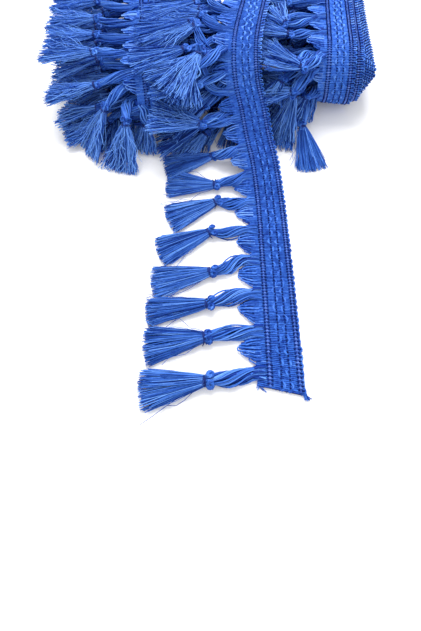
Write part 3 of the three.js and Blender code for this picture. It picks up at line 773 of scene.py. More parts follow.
def scallops(strands, run, necks, rng, spring):
    """Loops of weft between one neck and the next, over a layer of the same that fills the lobe, drawn darker
    as painted shade between the loops.
    """
    middles = (necks[:-1] + necks[1:]) / 2
    middles = middles[(middles > -SCALLOP_PAST) & (middles < run.length + SCALLOP_PAST)]
    reaches, leans, widths = LOOP_SPREADS
    outwards = np.clip(LOOP_REACHES, 0, 1)
    for number, (offset, reach) in enumerate(SCALLOP_LOOPS):
        at = middles + offset + rng.normal(0, SCALLOP_STRAY, len(middles))
        at = at[(at > SCALLOP_INSET) & (at < run.length - SCALLOP_INSET)]
        size = (len(at), 1)
        drawn = SCALLOP_GATHER * (SCALLOP_HEAD - offset)
        s = at[:, None] + FILL_ASIDE + drawn * np.clip(FILL_REACHES, 0, 1) ** LOOP_CURVE
        fill = run.place(s, -HALF_BAND - past_braid(FILL_REACHES, reach), FILL_HEIGHT + 0 * s)
        strands.add(fill, FILL_RADII, rng.normal(*FILL_SHADE_TONES, len(at)))
        out = past_braid(LOOP_REACHES, reach * rng.normal(1.0, reaches, size))
        s = at[:, None] + (drawn + rng.normal(0, leans, size)) * outwards**LOOP_CURVE
        s = s + LOOP_SIDES * rng.normal(1.0, widths, size)
        h = LOOP_HEIGHT + LOOP_LIFT * (number % 2) + rng.normal(0, LOOP_STRAY, size)
        h = h + LOOP_ARCH * np.sin(np.pi * outwards)
        lines = run.place(np.maximum(s, LOOP_FIRST), -HALF_BAND - out, h)
        lines[..., 2] = np.maximum(lines[..., 2], SCALLOP_LOW)
        strands.add(lines, LOOP_RADIUS, rng.normal(*LOOP_TONES, len(at)) + painted_low_shade(at, spring))


def cut_frays(strands, run, slant, rng):
    """Short ends of weft and warp along the cut, and the longer ones of its two corners."""
    along_cut, *at_corners = FRAY_COUNTS
    t = [rng.uniform(*FRAY_SPAN, along_cut)]
    t += [rng.normal(*corner, count) for corner, count in zip(FRAY_CORNERS, at_corners)]
    t = np.concatenate(t)
    long = np.concatenate([rng.uniform(*span, count) for span, count in zip(FRAY_LENGTHS, FRAY_COUNTS)])
    aside = np.concatenate([rng.normal(*lean, count) for lean, count in zip(FRAY_LEANS, FRAY_COUNTS)])
    u = np.linspace(0, 1, FRAY_POINTS)
    s = leaning(np.full_like(t, FRAY_START), t, slant)[:, None] - long[:, None] * u
    h = FRAY_HEIGHT + rng.uniform(*FRAY_LIFTS, (len(t), 1)) - FRAY_DROOP * u
    lines = run.place(s, t[:, None] + aside[:, None] * u**FRAY_CURVE, h)
    thick, taper = FRAY_RADII
    strands.add(lines, thick + taper * u, rng.normal(*FRAY_TONES, len(t)))


def band_faces(first, rows, size, closed=False):
    """Faces of a band of several rows of points, each a ring of the given size."""
    faces = []
    for k in range(rows if closed else rows - 1):
        near, far = first + k * size, first + (k + 1) % rows * size
        for j in range(size):
            after = (j + 1) % size
            faces.append((near + after, near + j, far + j, far + after))
    if not closed:
        last = first + (rows - 1) * size
        faces += [tuple(range(first, first + size)), tuple(range(last + size - 1, last - 1, -1))]
    return faces


def woven_band(name, run, s, edges, heights, finish, slant):
    """A closed band along a run, between two places across it and two heights."""
    (near, far), (back, face) = edges, heights
    profile = [(near, back), (near, face), (far, face), (far, back)]
    points = [run.place(leaning(at, t, slant), t, h) for at in s for t, h in profile]
    return solid_piece(name, np.array(points), band_faces(0, len(s), len(profile)), finish)


def ground_sheet(name, run, finish, slant):
    """The thin cloth behind the ribs, all along a run; its dark finish is painted shade."""
    s = np.linspace(0, run.length, int(run.length / GROUND_STEP) + 1)
    return woven_band(name, run, s, GROUND_EDGES, (GROUND_BACK, GROUND_THICKNESS), finish, slant)


def weave_body(name, run, start, end, finish, spring, slant=0.0):
    """The woven body that closes the grooves between the ribs."""
    s = np.linspace(start + BODY_INSET, end - BODY_INSET, int((end - start) / GROUND_STEP) + 1)
    piece = woven_band(name, run, s, BODY_EDGES, BODY_HEIGHTS, finish, slant)
    tones = np.repeat(BODY_TONE + painted_low_shade(s, spring), len(piece.data.vertices) // len(s))
    piece.data.attributes.new("tone", "FLOAT", "POINT").data.foreach_set("value", tones.astype(np.float32))
    return settle(piece)


# Coils.

FOLD_POINTS = 40
TOP_POINTS = 60
FILLED_HEIGHT = 2.3  # of an inner turn where the one outside covers it
COVER_OVERLAP = 1.0


def coil_directions(coil):
    """The directions along a coil from its front, and across it away from its tassels."""
    turn = math.radians(coil["yaw"])
    along = np.array([math.sin(turn), math.cos(turn), 0.0])
    return along, np.cross(along, UP)


def turn_line(coil, inset):
    """One turn seen from its end, as (along, up): from the middle of its underside, front fold first."""
    half, radius, length = coil["height"] / 2, coil["height"] / 2 - inset, coil["length"]
    fold = np.linspace(-np.pi / 2, -3 * np.pi / 2, FOLD_POINTS)
    front = np.stack([half + radius * np.cos(fold), half + radius * np.sin(fold)], axis=1)
    u = np.linspace(0, 1, TOP_POINTS)[1:-1, None]
    top = coil["height"] - inset
    ends = np.array([[half, top], [length / 2, top - 2 * COIL_SAG], [length - half, top]])
    dip = (1 - u) ** 2 * ends[0] + 2 * u * (1 - u) * ends[1] + u**2 * ends[2]
    back = np.stack([length - half - radius * np.cos(fold), half - radius * np.sin(fold)], axis=1)
    start = np.array([[length / 2, inset]])
    return np.vstack([start, front, dip, back, start])


def slip(coil, along, up):
    """How far a coil has slipped away from its tassels, at a distance from its front and a height."""
    return coil["lean"] * (1 - along / coil["length"]) * (1 - up / coil["height"])


def turn_run(coil, number):
    """One turn of a coil as a run. Its middle is half a band from the plain edge of that turn."""
    along, inwards = coil_directions(coil)
    outline = turn_line(coil, number * TURN_THICKNESS + BAND_THICKNESS)
    across = HALF_BAND + coil["ledges"][number] + slip(coil, outline[:, :1], outline[:, 1:])
    line = np.array(coil["corner"]) + outline[:, :1] * along + outline[:, 1:] * UP + across * inwards
    return Run(line, inwards)


def turn_width(coil, number):
    """How far a turn reaches from the tassel edge."""
    return BAND_WIDTH + coil["ledges"][number]


def top_distance(coil, along):
    """Distance along the outer turn to a place on its top, given from the coil's front."""
    half = coil["height"] / 2
    radius = half - BAND_THICKNESS
    top_start = coil["length"] / 2 - half + math.pi * radius
    if along >= half:
        return top_start + along - half
    return top_start - radius * math.asin(min(1.0, (half - along) / radius))


def coil_ground(name, coil, finish):
    """The turns of a coil as nested closed bands. Where the turn outside covers one, it is filled up. Its
    dark finish is painted shade between the turns.
    """
    points, faces = [], []
    for number in range(COIL_TURNS + 1):
        run = turn_run(coil, number)
        tassel_edge = -turn_width(coil, number) + HALF_BAND
        profile = [(tassel_edge, GROUND_BACK)]
        if number == 0:
            profile += [(tassel_edge, GROUND_THICKNESS)]
        else:
            covered = tassel_edge + turn_width(coil, number - 1) - COVER_OVERLAP
            profile += [(tassel_edge, FILLED_HEIGHT), (covered, FILLED_HEIGHT), (covered, GROUND_THICKNESS)]
        profile += [(HALF_BAND, GROUND_THICKNESS), (HALF_BAND, GROUND_BACK)]
        s = np.linspace(0, run.length, int(run.length / COIL_STEP))[:-1]
        faces += band_faces(len(points), len(s), len(profile), closed=True)
        points += [run.place(at, t, h) for at in s for t, h in profile]
    return solid_piece(name, np.array(points), faces, finish)


# Tassels. Tones are given as a middle and a spread.

# Where the first two points of a neck's yarns lie: how far apart, and their places on a run or on a coil.
FAN_SPREAD = np.array([2.9, 2.7])
RUN_FAN_ACROSS = np.array([-7.2, -10.6])
RUN_FAN_HEIGHTS = np.array([1.3, 1.7])
TOP_FAN = ((4.2, 1.0), (2.2, 1.8))  # inside the coil's edge, and above the root
SIDE_FAN = ((2.0, 0.3), (0.0, 0.0))
RUN_ROOT_PAST = 1.1  # a root lies this far past the braid of a run
RUN_ROOT_HEIGHT = 1.05
COIL_ROOT_GAP = 0.3

NECK_YARNS = 25
NECK_CORE = 5  # NECK_CORE = 5 # one yarn in so many is a thick bundle inside the neck, dark with painted shade
NECK_STEPS = np.array([0.06, 0.18, 0.32, 0.46, 0.6, 0.74, 0.9, 1.08])
NECK_HALF_WIDTHS = ([0.0, 0.25, 0.55, 0.85, 1.0], [2.6, 3.5, 3.8, 2.6, 1.6])
NECK_HALF_HEIGHTS = ([0.0, 0.5, 1.0], [1.0, 2.0, 1.7])
NECK_BEND = 0.5  # a neck leaves straight across the braid, and bends at about this share of its length
NECK_TWIST = (1.6, 3.0)
NECK_TWIST_SPREAD = 0.25
NECK_TWIST_CURVE = 1.2
NECK_REACHES = (0.95, 0.14)
NECK_BOWS = (0.6, 0.5)  # how far it bows aside: once, and in two halves
NECK_SAG = 1.2  # how far necks on the floor bow to one side, towards the cut on the loose end
NECK_RADIUS = 0.4
NECK_TONES = (-0.05, 0.42)
CORE_PLACE = 0.55  # how far out a bundle lies, as a share of the other yarns
CORE_SWELL = 2.2
# Painted shade inside the neck: its bundles are drawn darker.
CORE_PAINTED_SHADE = -0.5
LOWEST = 0.4  # the middles of necks and ties lie no lower than this

KNOT_YARNS = 4
KNOT_POINTS = 12
KNOT_TURNS = 1.03
KNOT_APART = (1.7, 2.3)
KNOT_BEFORE = 0.9  # how far before the tie its loops lie, and how that differs
KNOT_SHIFT = 0.5
KNOT_LEAN = (0.5, 0.3)
KNOT_TWIST = 1.3
KNOT_PLUMP = 0.5
KNOT_HALF_WIDTH = 1.15
KNOT_HALF_LENGTH = 1.2
KNOT_HEIGHT = 0.9
KNOT_RADIUS = 0.5
KNOT_TONES = (-0.45, 0.35)
TIE_TURNS = 2.6
TIE_POINTS = 27
TIE_HALF_SIZES = (2.5, 2.2)
TIE_START = 1.2  # how far past the tie's middle it starts, how far it goes on, and how it wanders there
TIE_LENGTH = 1.2
TIE_WANDER = 0.2
TIE_RADIUS = 0.36
TIE_TONES = (0.0, 0.2)
# The two loose ends of the thread: where they leave it, and their first places and what their length adds.
TIE_END_SIDES = (0.4, -0.5)
TIE_END_POINTS = 4
TIE_END_TURN = 0.5
TIE_END_START = 2.0
TIE_END_REACH = 2.4
TIE_END_WIDTHS = (2.6, 1.6)
TIE_END_HEIGHTS = (2.3, 1.3)
TIE_END_RADIUS = 0.26
TIE_END_TONES = (0.2, 0.2)

SKIRT_STEPS = np.array([0.0, 0.22, 0.58, 1.0])
SKIRT_LOCKS = 16
SKIRT_START = 0.9  # how far below the tie the yarns start
SKIRT_HALF_WIDTH = 2.1  # there
SKIRT_HALF_HEIGHT = 1.9
SKIRT_ENDS = ([1.3, 8.0], [1.3, 3.2])  # height of a tip, and half the height of the skirt's end
SKIRT_FLATTENS = 0.8  # towards its sides
SKIRT_FULLNESS = 1.06  # how much wider its yarns spread than its solid
SKIRT_CURVE = 0.9
SKIRT_REACHES = (1.0, 0.055)  # of its yarns, as a share of its length, and the limits of that
REACH_LIMITS = (0.8, 1.07)
SKIRT_ROUNDS = 1.6  # how much shorter it is at its sides
SKIRT_WAVES = (0.5, 1.2)
SKIRT_SWAYS = (0.2, 0.8)
SWAY_CURVE = 0.7
SWAY_ABOVE = 0.6  # as a share of the sway to the sides
SKIRT_TAPER = 0.05
LOCK_ASIDE = 0.95  # the places of locks, as shares of half the width and height
LOCK_ABOVE = 0.7
LOCK_NEARNESS = 0.3  # what a distance in height counts for, when a yarn takes the nearest lock
LOCK_PULL = 0.12
LOCK_CURVE = 1.4
LOCK_BEND = 0.5
LOCK_SPREAD = 0.25
YARN_RADIUS = 0.21
PLAIN_RADIUS = 0.26  # of tassels packed between others
COIL_SPREAD = 1.2  # skirts in the hank are pushed wider than their solids
FLOOR_TIE = 10.0  # a tassel with its tie no higher than this lies on the floor
# Tones of skirts, middle and spread: the hank's are drawn brighter as painted light, those on the floor
# darker as painted shade.
FLOOR_TONES_SHADED = (-0.04, 0.5)
HANK_TONES_LIT = (0.28, 0.95)
FLOOR_MESS = 1.0  # how far the yarns of a skirt sway
HANK_MESS = 2.7

# Yarns that have sprung away from a skirt: how many and how bright, and where they go.
# Those in the hank are drawn bright as painted highlight, those on the floor darker as painted shade.
FLOOR_STRAYS_SHADED = (3, -0.3)
HANK_STRAYS_LIT = (5, 0.6)
STRAY_TONE_SPREAD = 0.4
STRAY_POINTS = 7
STRAY_WAVES = (0.7, 1.7)
STRAY_START = 1.5  # how far aside they start: half the skirt's width less the inset, and more, is added
STRAY_INSET = 1.0
STRAY_PAST = (0.0, 3.0)
STRAY_SWAY = 2.0
STRAY_ABOVE = (-1.0, 1.5)
STRAY_REACHES = (0.5, 1.1)
STRAY_RADIUS = 0.13
STRAY_LOWEST = 0.2
# Loose yarns that lie over a skirt in waves. Heights are those at the tie, and what is added at the end.
HANK_CURLS = 12
CURL_WAVES = (0.6, 1.5)
CURL_SPAN = (-1.1, 1.1)
CURL_START = 1.5
CURL_SWAY = 3.2
CURL_CURVE = 0.8
CURL_ABOVE = (0.8, 1.2)
CURL_HEIGHTS = (1.8, 1.6)
CURL_FIRST = 0.12
CURL_REACHES = (0.4, 0.95)
CURL_RADIUS = 0.17
# They are drawn bright: painted highlight on yarns that lie on top.
CURL_TONES_LIT = (0.75, 0.6)


def cross_directions(forward):
    """Right and upward directions across something that runs forward."""
    right = unit(np.cross(forward, UP))
    return right, np.cross(right, unit(forward))


def neck_yarns(strands, fan, root, out, tie, rng, count=NECK_YARNS, sag=0.0):
    """The gathered weft from the braid to the tie, as a loosely twisted rope. fan gives where each starts."""
    corner = root + out * NECK_BEND * np.linalg.norm(tie - root)
    u = NECK_STEPS[:, None]
    line = (1 - u) ** 2 * root + 2 * u * (1 - u) * corner + u**2 * tie
    right, lift = cross_directions(2 * (1 - u) * (corner - root) + 2 * u * (tie - corner))
    start = 2 * np.pi * np.arange(count) / count
    turned = rng.uniform(*NECK_TWIST) + rng.normal(0, NECK_TWIST_SPREAD, count)
    angle = start[:, None] + turned[:, None] * NECK_STEPS**NECK_TWIST_CURVE
    # Some yarns are thick dark bundles inside the rope: painted shade between its yarns.
    shade_core = np.arange(count) % NECK_CORE == 0
    far = rng.normal(*NECK_REACHES, (count, 1)) * np.where(shade_core, CORE_PLACE, 1.0)[:, None]
    once, twice = NECK_BOWS
    bow = rng.normal(-sag, once) * np.sin(np.pi * NECK_STEPS)
    bow = bow + rng.normal(0, twice) * np.sin(2 * np.pi * NECK_STEPS)
    aside = far * np.cos(angle) * np.interp(NECK_STEPS, *NECK_HALF_WIDTHS) + bow
    above = far * np.sin(angle) * np.interp(NECK_STEPS, *NECK_HALF_HEIGHTS)
    lines = line + aside[..., None] * right + above[..., None] * lift
    lines = np.concatenate([fan(np.cos(start)), lines], axis=1)
    lines[..., 2] = np.maximum(lines[..., 2], LOWEST)
    thick = NECK_RADIUS * math.sqrt(NECK_YARNS / count) * np.where(shade_core, CORE_SWELL, 1.0)
    strands.add(lines, thick[:, None], rng.normal(*NECK_TONES, count) + CORE_PAINTED_SHADE * shade_core)


def ring(tie, forward, angle, axial, wide, high):
    """A line round a tie: axial goes towards the skirt, wide and high are its half sizes."""
    right, lift = cross_directions(forward)
    aside, above = wide * np.cos(angle), high * np.sin(angle)
    line = tie + np.outer(axial, forward) + np.outer(aside, right) + np.outer(above, lift)
    line[:, 2] = np.maximum(line[:, 2], LOWEST)
    return line


def tie_yarns(strands, ties, tie, forward, rng, count=KNOT_YARNS, points=KNOT_POINTS):
    """The knot, two round loops of the gathered yarn side by side, and the thin thread wound below it."""
    right, lift = cross_directions(forward)
    start = rng.uniform(0, 2 * np.pi)
    angle = np.linspace(0, 2 * np.pi * KNOT_TURNS, points)
    for side in (-1, 1):
        middle = tie + right * side * rng.uniform(*KNOT_APART)
        middle = middle - forward * (KNOT_BEFORE + side * rng.normal(0, KNOT_SHIFT))
        lean = rng.normal(*KNOT_LEAN)
        for yarn in range(count):
            turned = 2 * np.pi * yarn / count + KNOT_TWIST * angle
            swell = 1.0 + KNOT_PLUMP * np.cos(turned)
            aside = swell * KNOT_HALF_WIDTH * np.cos(angle + start)
            past = swell * KNOT_HALF_LENGTH * np.sin(angle + start)
            above = KNOT_HEIGHT + KNOT_PLUMP * np.sin(turned) - lean * side * aside
            line = middle + np.outer(aside, right) + np.outer(past, forward) + np.outer(above, lift)
            strands.add(line[None], KNOT_RADIUS * math.sqrt(KNOT_YARNS / count), rng.normal(*KNOT_TONES, 1))
    wound = np.linspace(0, 2 * np.pi * TIE_TURNS, TIE_POINTS)
    axial = TIE_START + TIE_LENGTH * wound / wound[-1] + TIE_WANDER * np.sin(2 * wound)
    line = ring(tie, forward, wound + start, axial, *TIE_HALF_SIZES)
    ties.add(line[None], TIE_RADIUS, rng.normal(*TIE_TONES, 1))
    u = np.linspace(0, 1, TIE_END_POINTS)
    wide, high = (first + more * u for first, more in (TIE_END_WIDTHS, TIE_END_HEIGHTS))
    for side in TIE_END_SIDES:
        angle = start + side + TIE_END_TURN * u
        line = ring(tie, forward, angle, TIE_END_START + TIE_END_REACH * side * u, wide, high)
        ties.add(line[None], TIE_END_RADIUS, rng.normal(*TIE_END_TONES, 1))


def skirt_yarns(strands, tie, tip, flare, count, rng, tones=HANK_TONES_LIT, thick=YARN_RADIUS, mess=HANK_MESS):
    """The cut yarns below a tie, drawn together in loose locks."""
    axis = tip - tie
    length = np.linalg.norm(axis)
    forward = axis / length
    right, lift = cross_directions(forward)
    a = rng.uniform(-1, 1, count)
    b = rng.uniform(-1, 1, count) * np.sqrt(1 - SKIRT_FLATTENS * a**2)
    lock_a = np.linspace(-LOCK_ASIDE, LOCK_ASIDE, SKIRT_LOCKS)
    lock_b = rng.uniform(-LOCK_ABOVE, LOCK_ABOVE, SKIRT_LOCKS)
    nearest = np.argmin((a[:, None] - lock_a) ** 2 + LOCK_NEARNESS * (b[:, None] - lock_b) ** 2, axis=1)
    lock_tone = rng.normal(0, LOCK_SPREAD, SKIRT_LOCKS)
    lock_bend = rng.normal(0, LOCK_BEND * mess, SKIRT_LOCKS)
    u = SKIRT_STEPS
    pull = LOCK_PULL * u**LOCK_CURVE
    aside = a[:, None] + (lock_a[nearest] - a)[:, None] * pull
    above = b[:, None] + (lock_b[nearest] - b)[:, None] * pull
    wide = SKIRT_HALF_WIDTH + (flare / 2 * SKIRT_FULLNESS - SKIRT_HALF_WIDTH) * u**SKIRT_CURVE
    high = SKIRT_HALF_HEIGHT + (np.interp(tip[2], *SKIRT_ENDS) - SKIRT_HALF_HEIGHT) * u
    reach = np.clip(rng.normal(*SKIRT_REACHES, count), *REACH_LIMITS)[:, None]
    gone = SKIRT_START + (length * reach - SKIRT_START) * u - SKIRT_ROUNDS * aside**2 * u
    size = (2, count, 1)
    waves = rng.uniform(*SKIRT_WAVES, size) * u + rng.uniform(0, 1, size)
    sway = mess * rng.uniform(*SKIRT_SWAYS, size) * u**SWAY_CURVE * np.sin(2 * np.pi * waves)
    bend = lock_bend[nearest][:, None] * u**2
    lines = (
        tie
        + gone[..., None] * forward
        + (aside * wide + sway[0] + bend)[..., None] * right
        + (above * high + SWAY_ABOVE * sway[1])[..., None] * lift
    )
    lines[..., 2] = np.maximum(lines[..., 2], thick)
    strands.add(lines, thick * (1 - SKIRT_TAPER * u), lock_tone[nearest] + rng.normal(*tones, count))


def by_skirt(tie, axis, reach, aside, above):
    """Lines by a skirt: shares of its length, and distances to its side and above its middle."""
    right, lift = cross_directions(axis)
    lines = tie + reach[..., None] * axis + aside[..., None] * right + above[..., None] * lift
    lines[..., 2] = np.maximum(lines[..., 2], STRAY_LOWEST)
    return lines


def stray_yarns(strands, tie, tip, flare, count, tone, rng):
    """A few single yarns that have sprung away from the skirt at its sides."""
    u = np.linspace(0, 1, STRAY_POINTS)
    size = (count, 1)
    waves = rng.uniform(*STRAY_WAVES, size) * u + rng.uniform(0, 1, size)
    side = rng.choice([-1, 1], size)
    aside = side * (STRAY_START + (flare / 2 - STRAY_INSET + rng.uniform(*STRAY_PAST, size)) * u)
    aside = aside + STRAY_SWAY * u * np.sin(2 * np.pi * waves)
    above = rng.uniform(*STRAY_ABOVE, size) * u
    reach = rng.uniform(*STRAY_REACHES, size) * u
    tones = rng.normal(tone, STRAY_TONE_SPREAD, count)
    strands.add(by_skirt(tie, tip - tie, reach, aside, above), STRAY_RADIUS, tones)


def curled_yarns(strands, tie, tip, flare, count, rng):
    """Loose yarns that lie over a skirt in waves, across its own."""
    u = np.linspace(0, 1, STRAY_POINTS)
    size = (count, 1)
    waves = rng.uniform(*CURL_WAVES, size) * u + rng.uniform(0, 1, size)
    aside = rng.uniform(*CURL_SPAN, size) * (CURL_START + flare / 2 * u)
    aside = aside + CURL_SWAY * u**CURL_CURVE * np.sin(2 * np.pi * waves)
    first, more = CURL_HEIGHTS
    above = rng.uniform(*CURL_ABOVE, size) * (first + more * u)
    reach = CURL_FIRST + rng.uniform(*CURL_REACHES, size) * u
    strands.add(by_skirt(tie, tip - tie, reach, aside, above), CURL_RADIUS, rng.normal(*CURL_TONES_LIT, count))


def dress_tassel(name, ties, fan, root, out, row, count, rng, spread=1.0):
    """One tassel: neck, knot, skirt and strays as one piece. The thread of the tie goes with the others."""
    tie, tip, flare = np.array(row[0]), np.array(row[1]), row[2] * spread
    strands = Strands()
    on_floor = tie[2] <= FLOOR_TIE
    neck_yarns(strands, fan, root, out, tie, rng, sag=NECK_SAG if on_floor else 0.0)
    tie_yarns(strands, ties, tie, unit(tip - tie), rng)
    if on_floor:
        skirt_yarns(strands, tie, tip, flare, count, rng, FLOOR_TONES_SHADED, mess=FLOOR_MESS)
        stray_yarns(strands, tie, tip, flare, *FLOOR_STRAYS_SHADED, rng)
    else:
        skirt_yarns(strands, tie, tip, flare, count, rng)
        stray_yarns(strands, tie, tip, flare, *HANK_STRAYS_LIT, rng)
        curled_yarns(strands, tie, tip, flare, HANK_CURLS, rng)
    return yarn_piece(name + "_yarn", strands, TASSEL_YARN, replaces=name)


def run_fan(run, s):
    """Where the yarns of a neck start on a run."""
    return lambda place: run.place(s + place[:, None] * FAN_SPREAD, RUN_FAN_ACROSS, RUN_FAN_HEIGHTS)


def run_tassels(prefix, run, first, rows, count):
    """The tassels of a run, one each repeat from the first root."""
    ties, pieces = Strands(), []
    for number, row in enumerate(rows):
        rng = seeded(prefix, number)
        s = first + number * REPEAT
        root = run.place(s, -HALF_BAND - RUN_ROOT_PAST, RUN_ROOT_HEIGHT)
        name = f"{prefix}_{number + 1:02d}"
        pieces.append(dress_tassel(name, ties, run_fan(run, s), root, run.outwards(s), row, count, rng))
    pieces.append(yarn_piece(prefix + "_ties", ties, TIE_THREAD))
    return pieces


def coil_edge(coil, distance, height, inside=0.0):
    """A place on a coil's tassel edge, or inside it by the given distance."""
    along, inwards = coil_directions(coil)
    aside = slip(coil, distance, height) + inside
    return np.array(coil["corner"]) + along * distance + inwards * aside + UP * height


def coil_fan(coil, distance, height, inside, rise):
    """Where the yarns of a neck start on a coil, how far inside its edge and how high above the root."""
    along, inwards = coil_directions(coil)
    corner = np.array(coil["corner"])

    def fan(place):
        steps = distance + place[:, None] * FAN_SPREAD
        aside = slip(coil, distance, height) + np.array(inside)
        places = corner + steps[..., None] * along + aside[:, None] * inwards
        return places + (height + np.array(rise))[:, None] * UP

    return fan


def coil_tassels(prefix, coil, rows):
    """The tassels of a coil, whose roots lie on its tassel edge at the given places."""
    _, inwards = coil_directions(coil)
    ties = Strands()
    for number, (distance, height, *row) in enumerate(rows):
        rng = seeded(prefix, number)
        root = coil_edge(coil, distance, height, -COIL_ROOT_GAP)
        on_top = height > TOP_ROW_HEIGHT
        fan = coil_fan(coil, distance, height, *(TOP_FAN if on_top else SIDE_FAN))
        count = COIL_YARNS if on_top or distance < FRONT_ROOTS else BURIED_YARNS
        dress_tassel(f"{prefix}_{number + 1:02d}", ties, fan, root, -inwards, row, count, rng, COIL_SPREAD)
    yarn_piece(prefix + "_ties", ties, TIE_THREAD)


# Tassels of hidden turns.

# Rows of tassels of the turns inside a coil: height of the roots, droop of the tips, places from the front.
LEFT_INNER_ROWS = [
    (38.0, 6.0, (28.5, 45.5, 63.0, 82.5, 103.0, 123.0, 143.0, 162.5)),
    (22.0, 10.0, (14.0, 36.0, 57.0, 78.0, 100.0, 125.0, 152.0, 176.0)),
    (11.0, 6.0, (22.0, 44.0, 66.0, 88.0, 112.0, 136.0, 160.0)),
    (5.0, 2.0, (12.0, 33.0, 55.0, 178.0)),
]
RIGHT_INNER_ROWS = [
    (38.0, 2.0, (23.0, 42.0, 62.0, 81.0, 101.0, 121.0, 141.0, 160.0)),
    (29.0, 4.0, (14.0, 33.0, 52.0, 72.0, 92.0, 112.0, 134.0, 156.0)),
    (12.0, 6.0, (24.0, 44.0, 66.0, 90.0, 116.0, 144.0, 170.0)),
]
INNER_SKIRT = 31.0
INNER_YARNS = 56
# Rows of tassels under the loose end: depth below it, first root and last, droop of the tips.
UNDER_ROWS = [(6.0, 216.0, 350.0, 3.0), (16.0, 206.0, 350.0, 10.0)]
UNDER_NECK = 25.0
UNDER_YARNS = 90
# Tassels of hidden turns that show between the others: root, tie, middle of the cut ends, width there.
BETWEEN_TASSELS = [
    ((-44.0, 33.0, 30.0), (-42.0, 27.0, 20.0), (-44.5, 17.0, 2.0), 18.0),
    ((10.0, 34.0, 22.0), (-6.0, 25.5, 19.0), (-35.0, 20.0, 5.0), 21.0),
    ((12.0, 40.0, 14.0), (-2.5, 27.5, 10.0), (-17.0, 15.5, 2.0), 15.0),
    ((20.0, 58.0, 16.0), (14.0, 50.0, 12.0), (-8.0, 26.0, 3.0), 18.0),
    ((12.0, 50.0, 30.0), (-3.6, 38.0, 24.0), (-27.0, 24.0, 14.0), 18.0),
    ((14.0, 62.0, 42.0), (-2.9, 52.5, 39.0), (-28.0, 38.0, 41.0), 20.0),
    ((14.0, 60.0, 34.0), (-7.0, 53.0, 30.0), (-32.0, 44.0, 34.0), 20.0),
    ((14.0, 52.0, 36.0), (3.0, 48.9, 30.0), (-22.0, 32.0, 26.0), 18.0),
    ((6.0, 60.0, 52.0), (-12.7, 43.0, 49.0), (-16.1, 22.8, 40.0), 20.0),
    ((10.0, 84.0, 50.0), (-9.0, 84.0, 53.0), (-47.0, 90.0, 48.5), 20.0),
    ((12.0, 104.0, 50.0), (-6.0, 106.0, 52.0), (-42.0, 118.0, 47.5), 18.0),
    ((8.0, 62.0, 50.0), (-11.0, 51.0, 51.0), (-41.0, 44.0, 47.5), 20.0),
    ((10.0, 52.0, 40.0), (-8.0, 40.0, 41.0), (-38.0, 37.0, 42.0), 22.0),
    ((80.0, 60.0, 22.0), (65.0, 50.0, 21.0), (51.0, 38.0, 9.0), 20.0),
    ((66.0, 54.0, 40.0), (53.7, 41.0, 34.0), (37.0, 45.0, 29.0), 20.0),
    ((66.0, 56.0, 34.0), (56.0, 47.0, 27.0), (46.0, 27.5, 3.0), 22.0),
    ((66.0, 60.0, 28.0), (52.0, 53.0, 20.0), (39.0, 36.0, 3.0), 20.0),
    ((68.0, 62.0, 40.0), (47.2, 49.0, 37.0), (38.5, 42.0, 27.0), 18.0),
    ((70.0, 60.0, 47.0), (58.4, 49.5, 46.0), (37.0, 58.0, 49.5), 26.0),
    ((72.0, 100.0, 47.0), (52.2, 92.6, 48.5), (42.0, 108.0, 51.5), 24.0),
    ((76.0, 114.0, 30.0), (63.0, 109.0, 30.0), (34.0, 101.0, 31.0), 26.0),
    ((76.0, 98.0, 30.0), (62.0, 94.0, 28.0), (33.0, 88.0, 28.0), 24.0),
    ((16.0, 140.0, 32.0), (3.0, 139.0, 30.0), (-29.0, 138.0, 30.0), 26.0),
    ((14.0, 90.0, 34.0), (3.0, 87.0, 30.0), (-29.0, 82.0, 27.0), 26.0),
    ((80.0, 72.0, 24.0), (74.0, 63.0, 20.0), (63.0, 46.0, 4.0), 18.0),
    ((78.0, 108.0, 40.0), (66.0, 103.0, 38.0), (36.0, 96.0, 38.0), 24.0),
    ((0.0, 72.0, 50.0), (-16.0, 61.0, 52.0), (-50.0, 53.0, 49.5), 24.0),
    ((2.0, 96.0, 51.0), (-13.0, 88.0, 53.5), (-49.0, 77.0, 50.0), 24.0),
    ((4.0, 114.0, 51.0), (-10.0, 112.0, 53.5), (-47.0, 101.0, 50.0), 24.0),
    ((8.0, 134.0, 51.0), (-5.0, 131.0, 53.0), (-43.0, 126.0, 50.0), 24.0),
    ((84.0, 112.0, 26.0), (72.0, 108.0, 25.0), (42.0, 100.0, 24.0), 26.0),
    ((14.0, 112.0, 32.0), (6.0, 109.0, 30.0), (-26.0, 104.0, 28.0), 24.0),
    ((22.0, 84.0, 32.0), (14.0, 81.0, 30.0), (-18.0, 73.0, 28.0), 24.0),
    ((-62.0, 46.0, 14.0), (-65.0, 41.0, 10.0), (-71.0, 17.0, 2.5), 18.0),
    ((-48.0, 50.0, 12.0), (-50.0, 43.0, 9.0), (-53.0, 19.0, 3.0), 14.0),
    ((-48.0, 58.0, 24.0), (-50.0, 56.5, 22.0), (-74.0, 46.0, 18.0), 16.0),
    ((-56.0, 66.0, 26.0), (-62.0, 65.0, 25.0), (-92.0, 60.0, 21.0), 22.0),
    ((-66.0, 62.0, 18.0), (-70.0, 60.0, 17.0), (-93.0, 50.0, 10.0), 24.0),
    ((-62.0, 78.0, 20.0), (-80.0, 74.0, 20.0), (-113.0, 72.0, 18.0), 20.0),
    ((-66.0, 146.0, 22.0), (-85.0, 146.0, 20.0), (-114.0, 150.0, 14.0), 18.0),
    ((-2.0, 40.0, 8.0), (-8.0, 33.0, 6.0), (-24.0, 15.5, 2.0), 18.0),
]
BETWEEN_YARNS = 110
BETWEEN_LEVEL = 0.3  # how much of its slope a neck keeps where it leaves the hidden braid
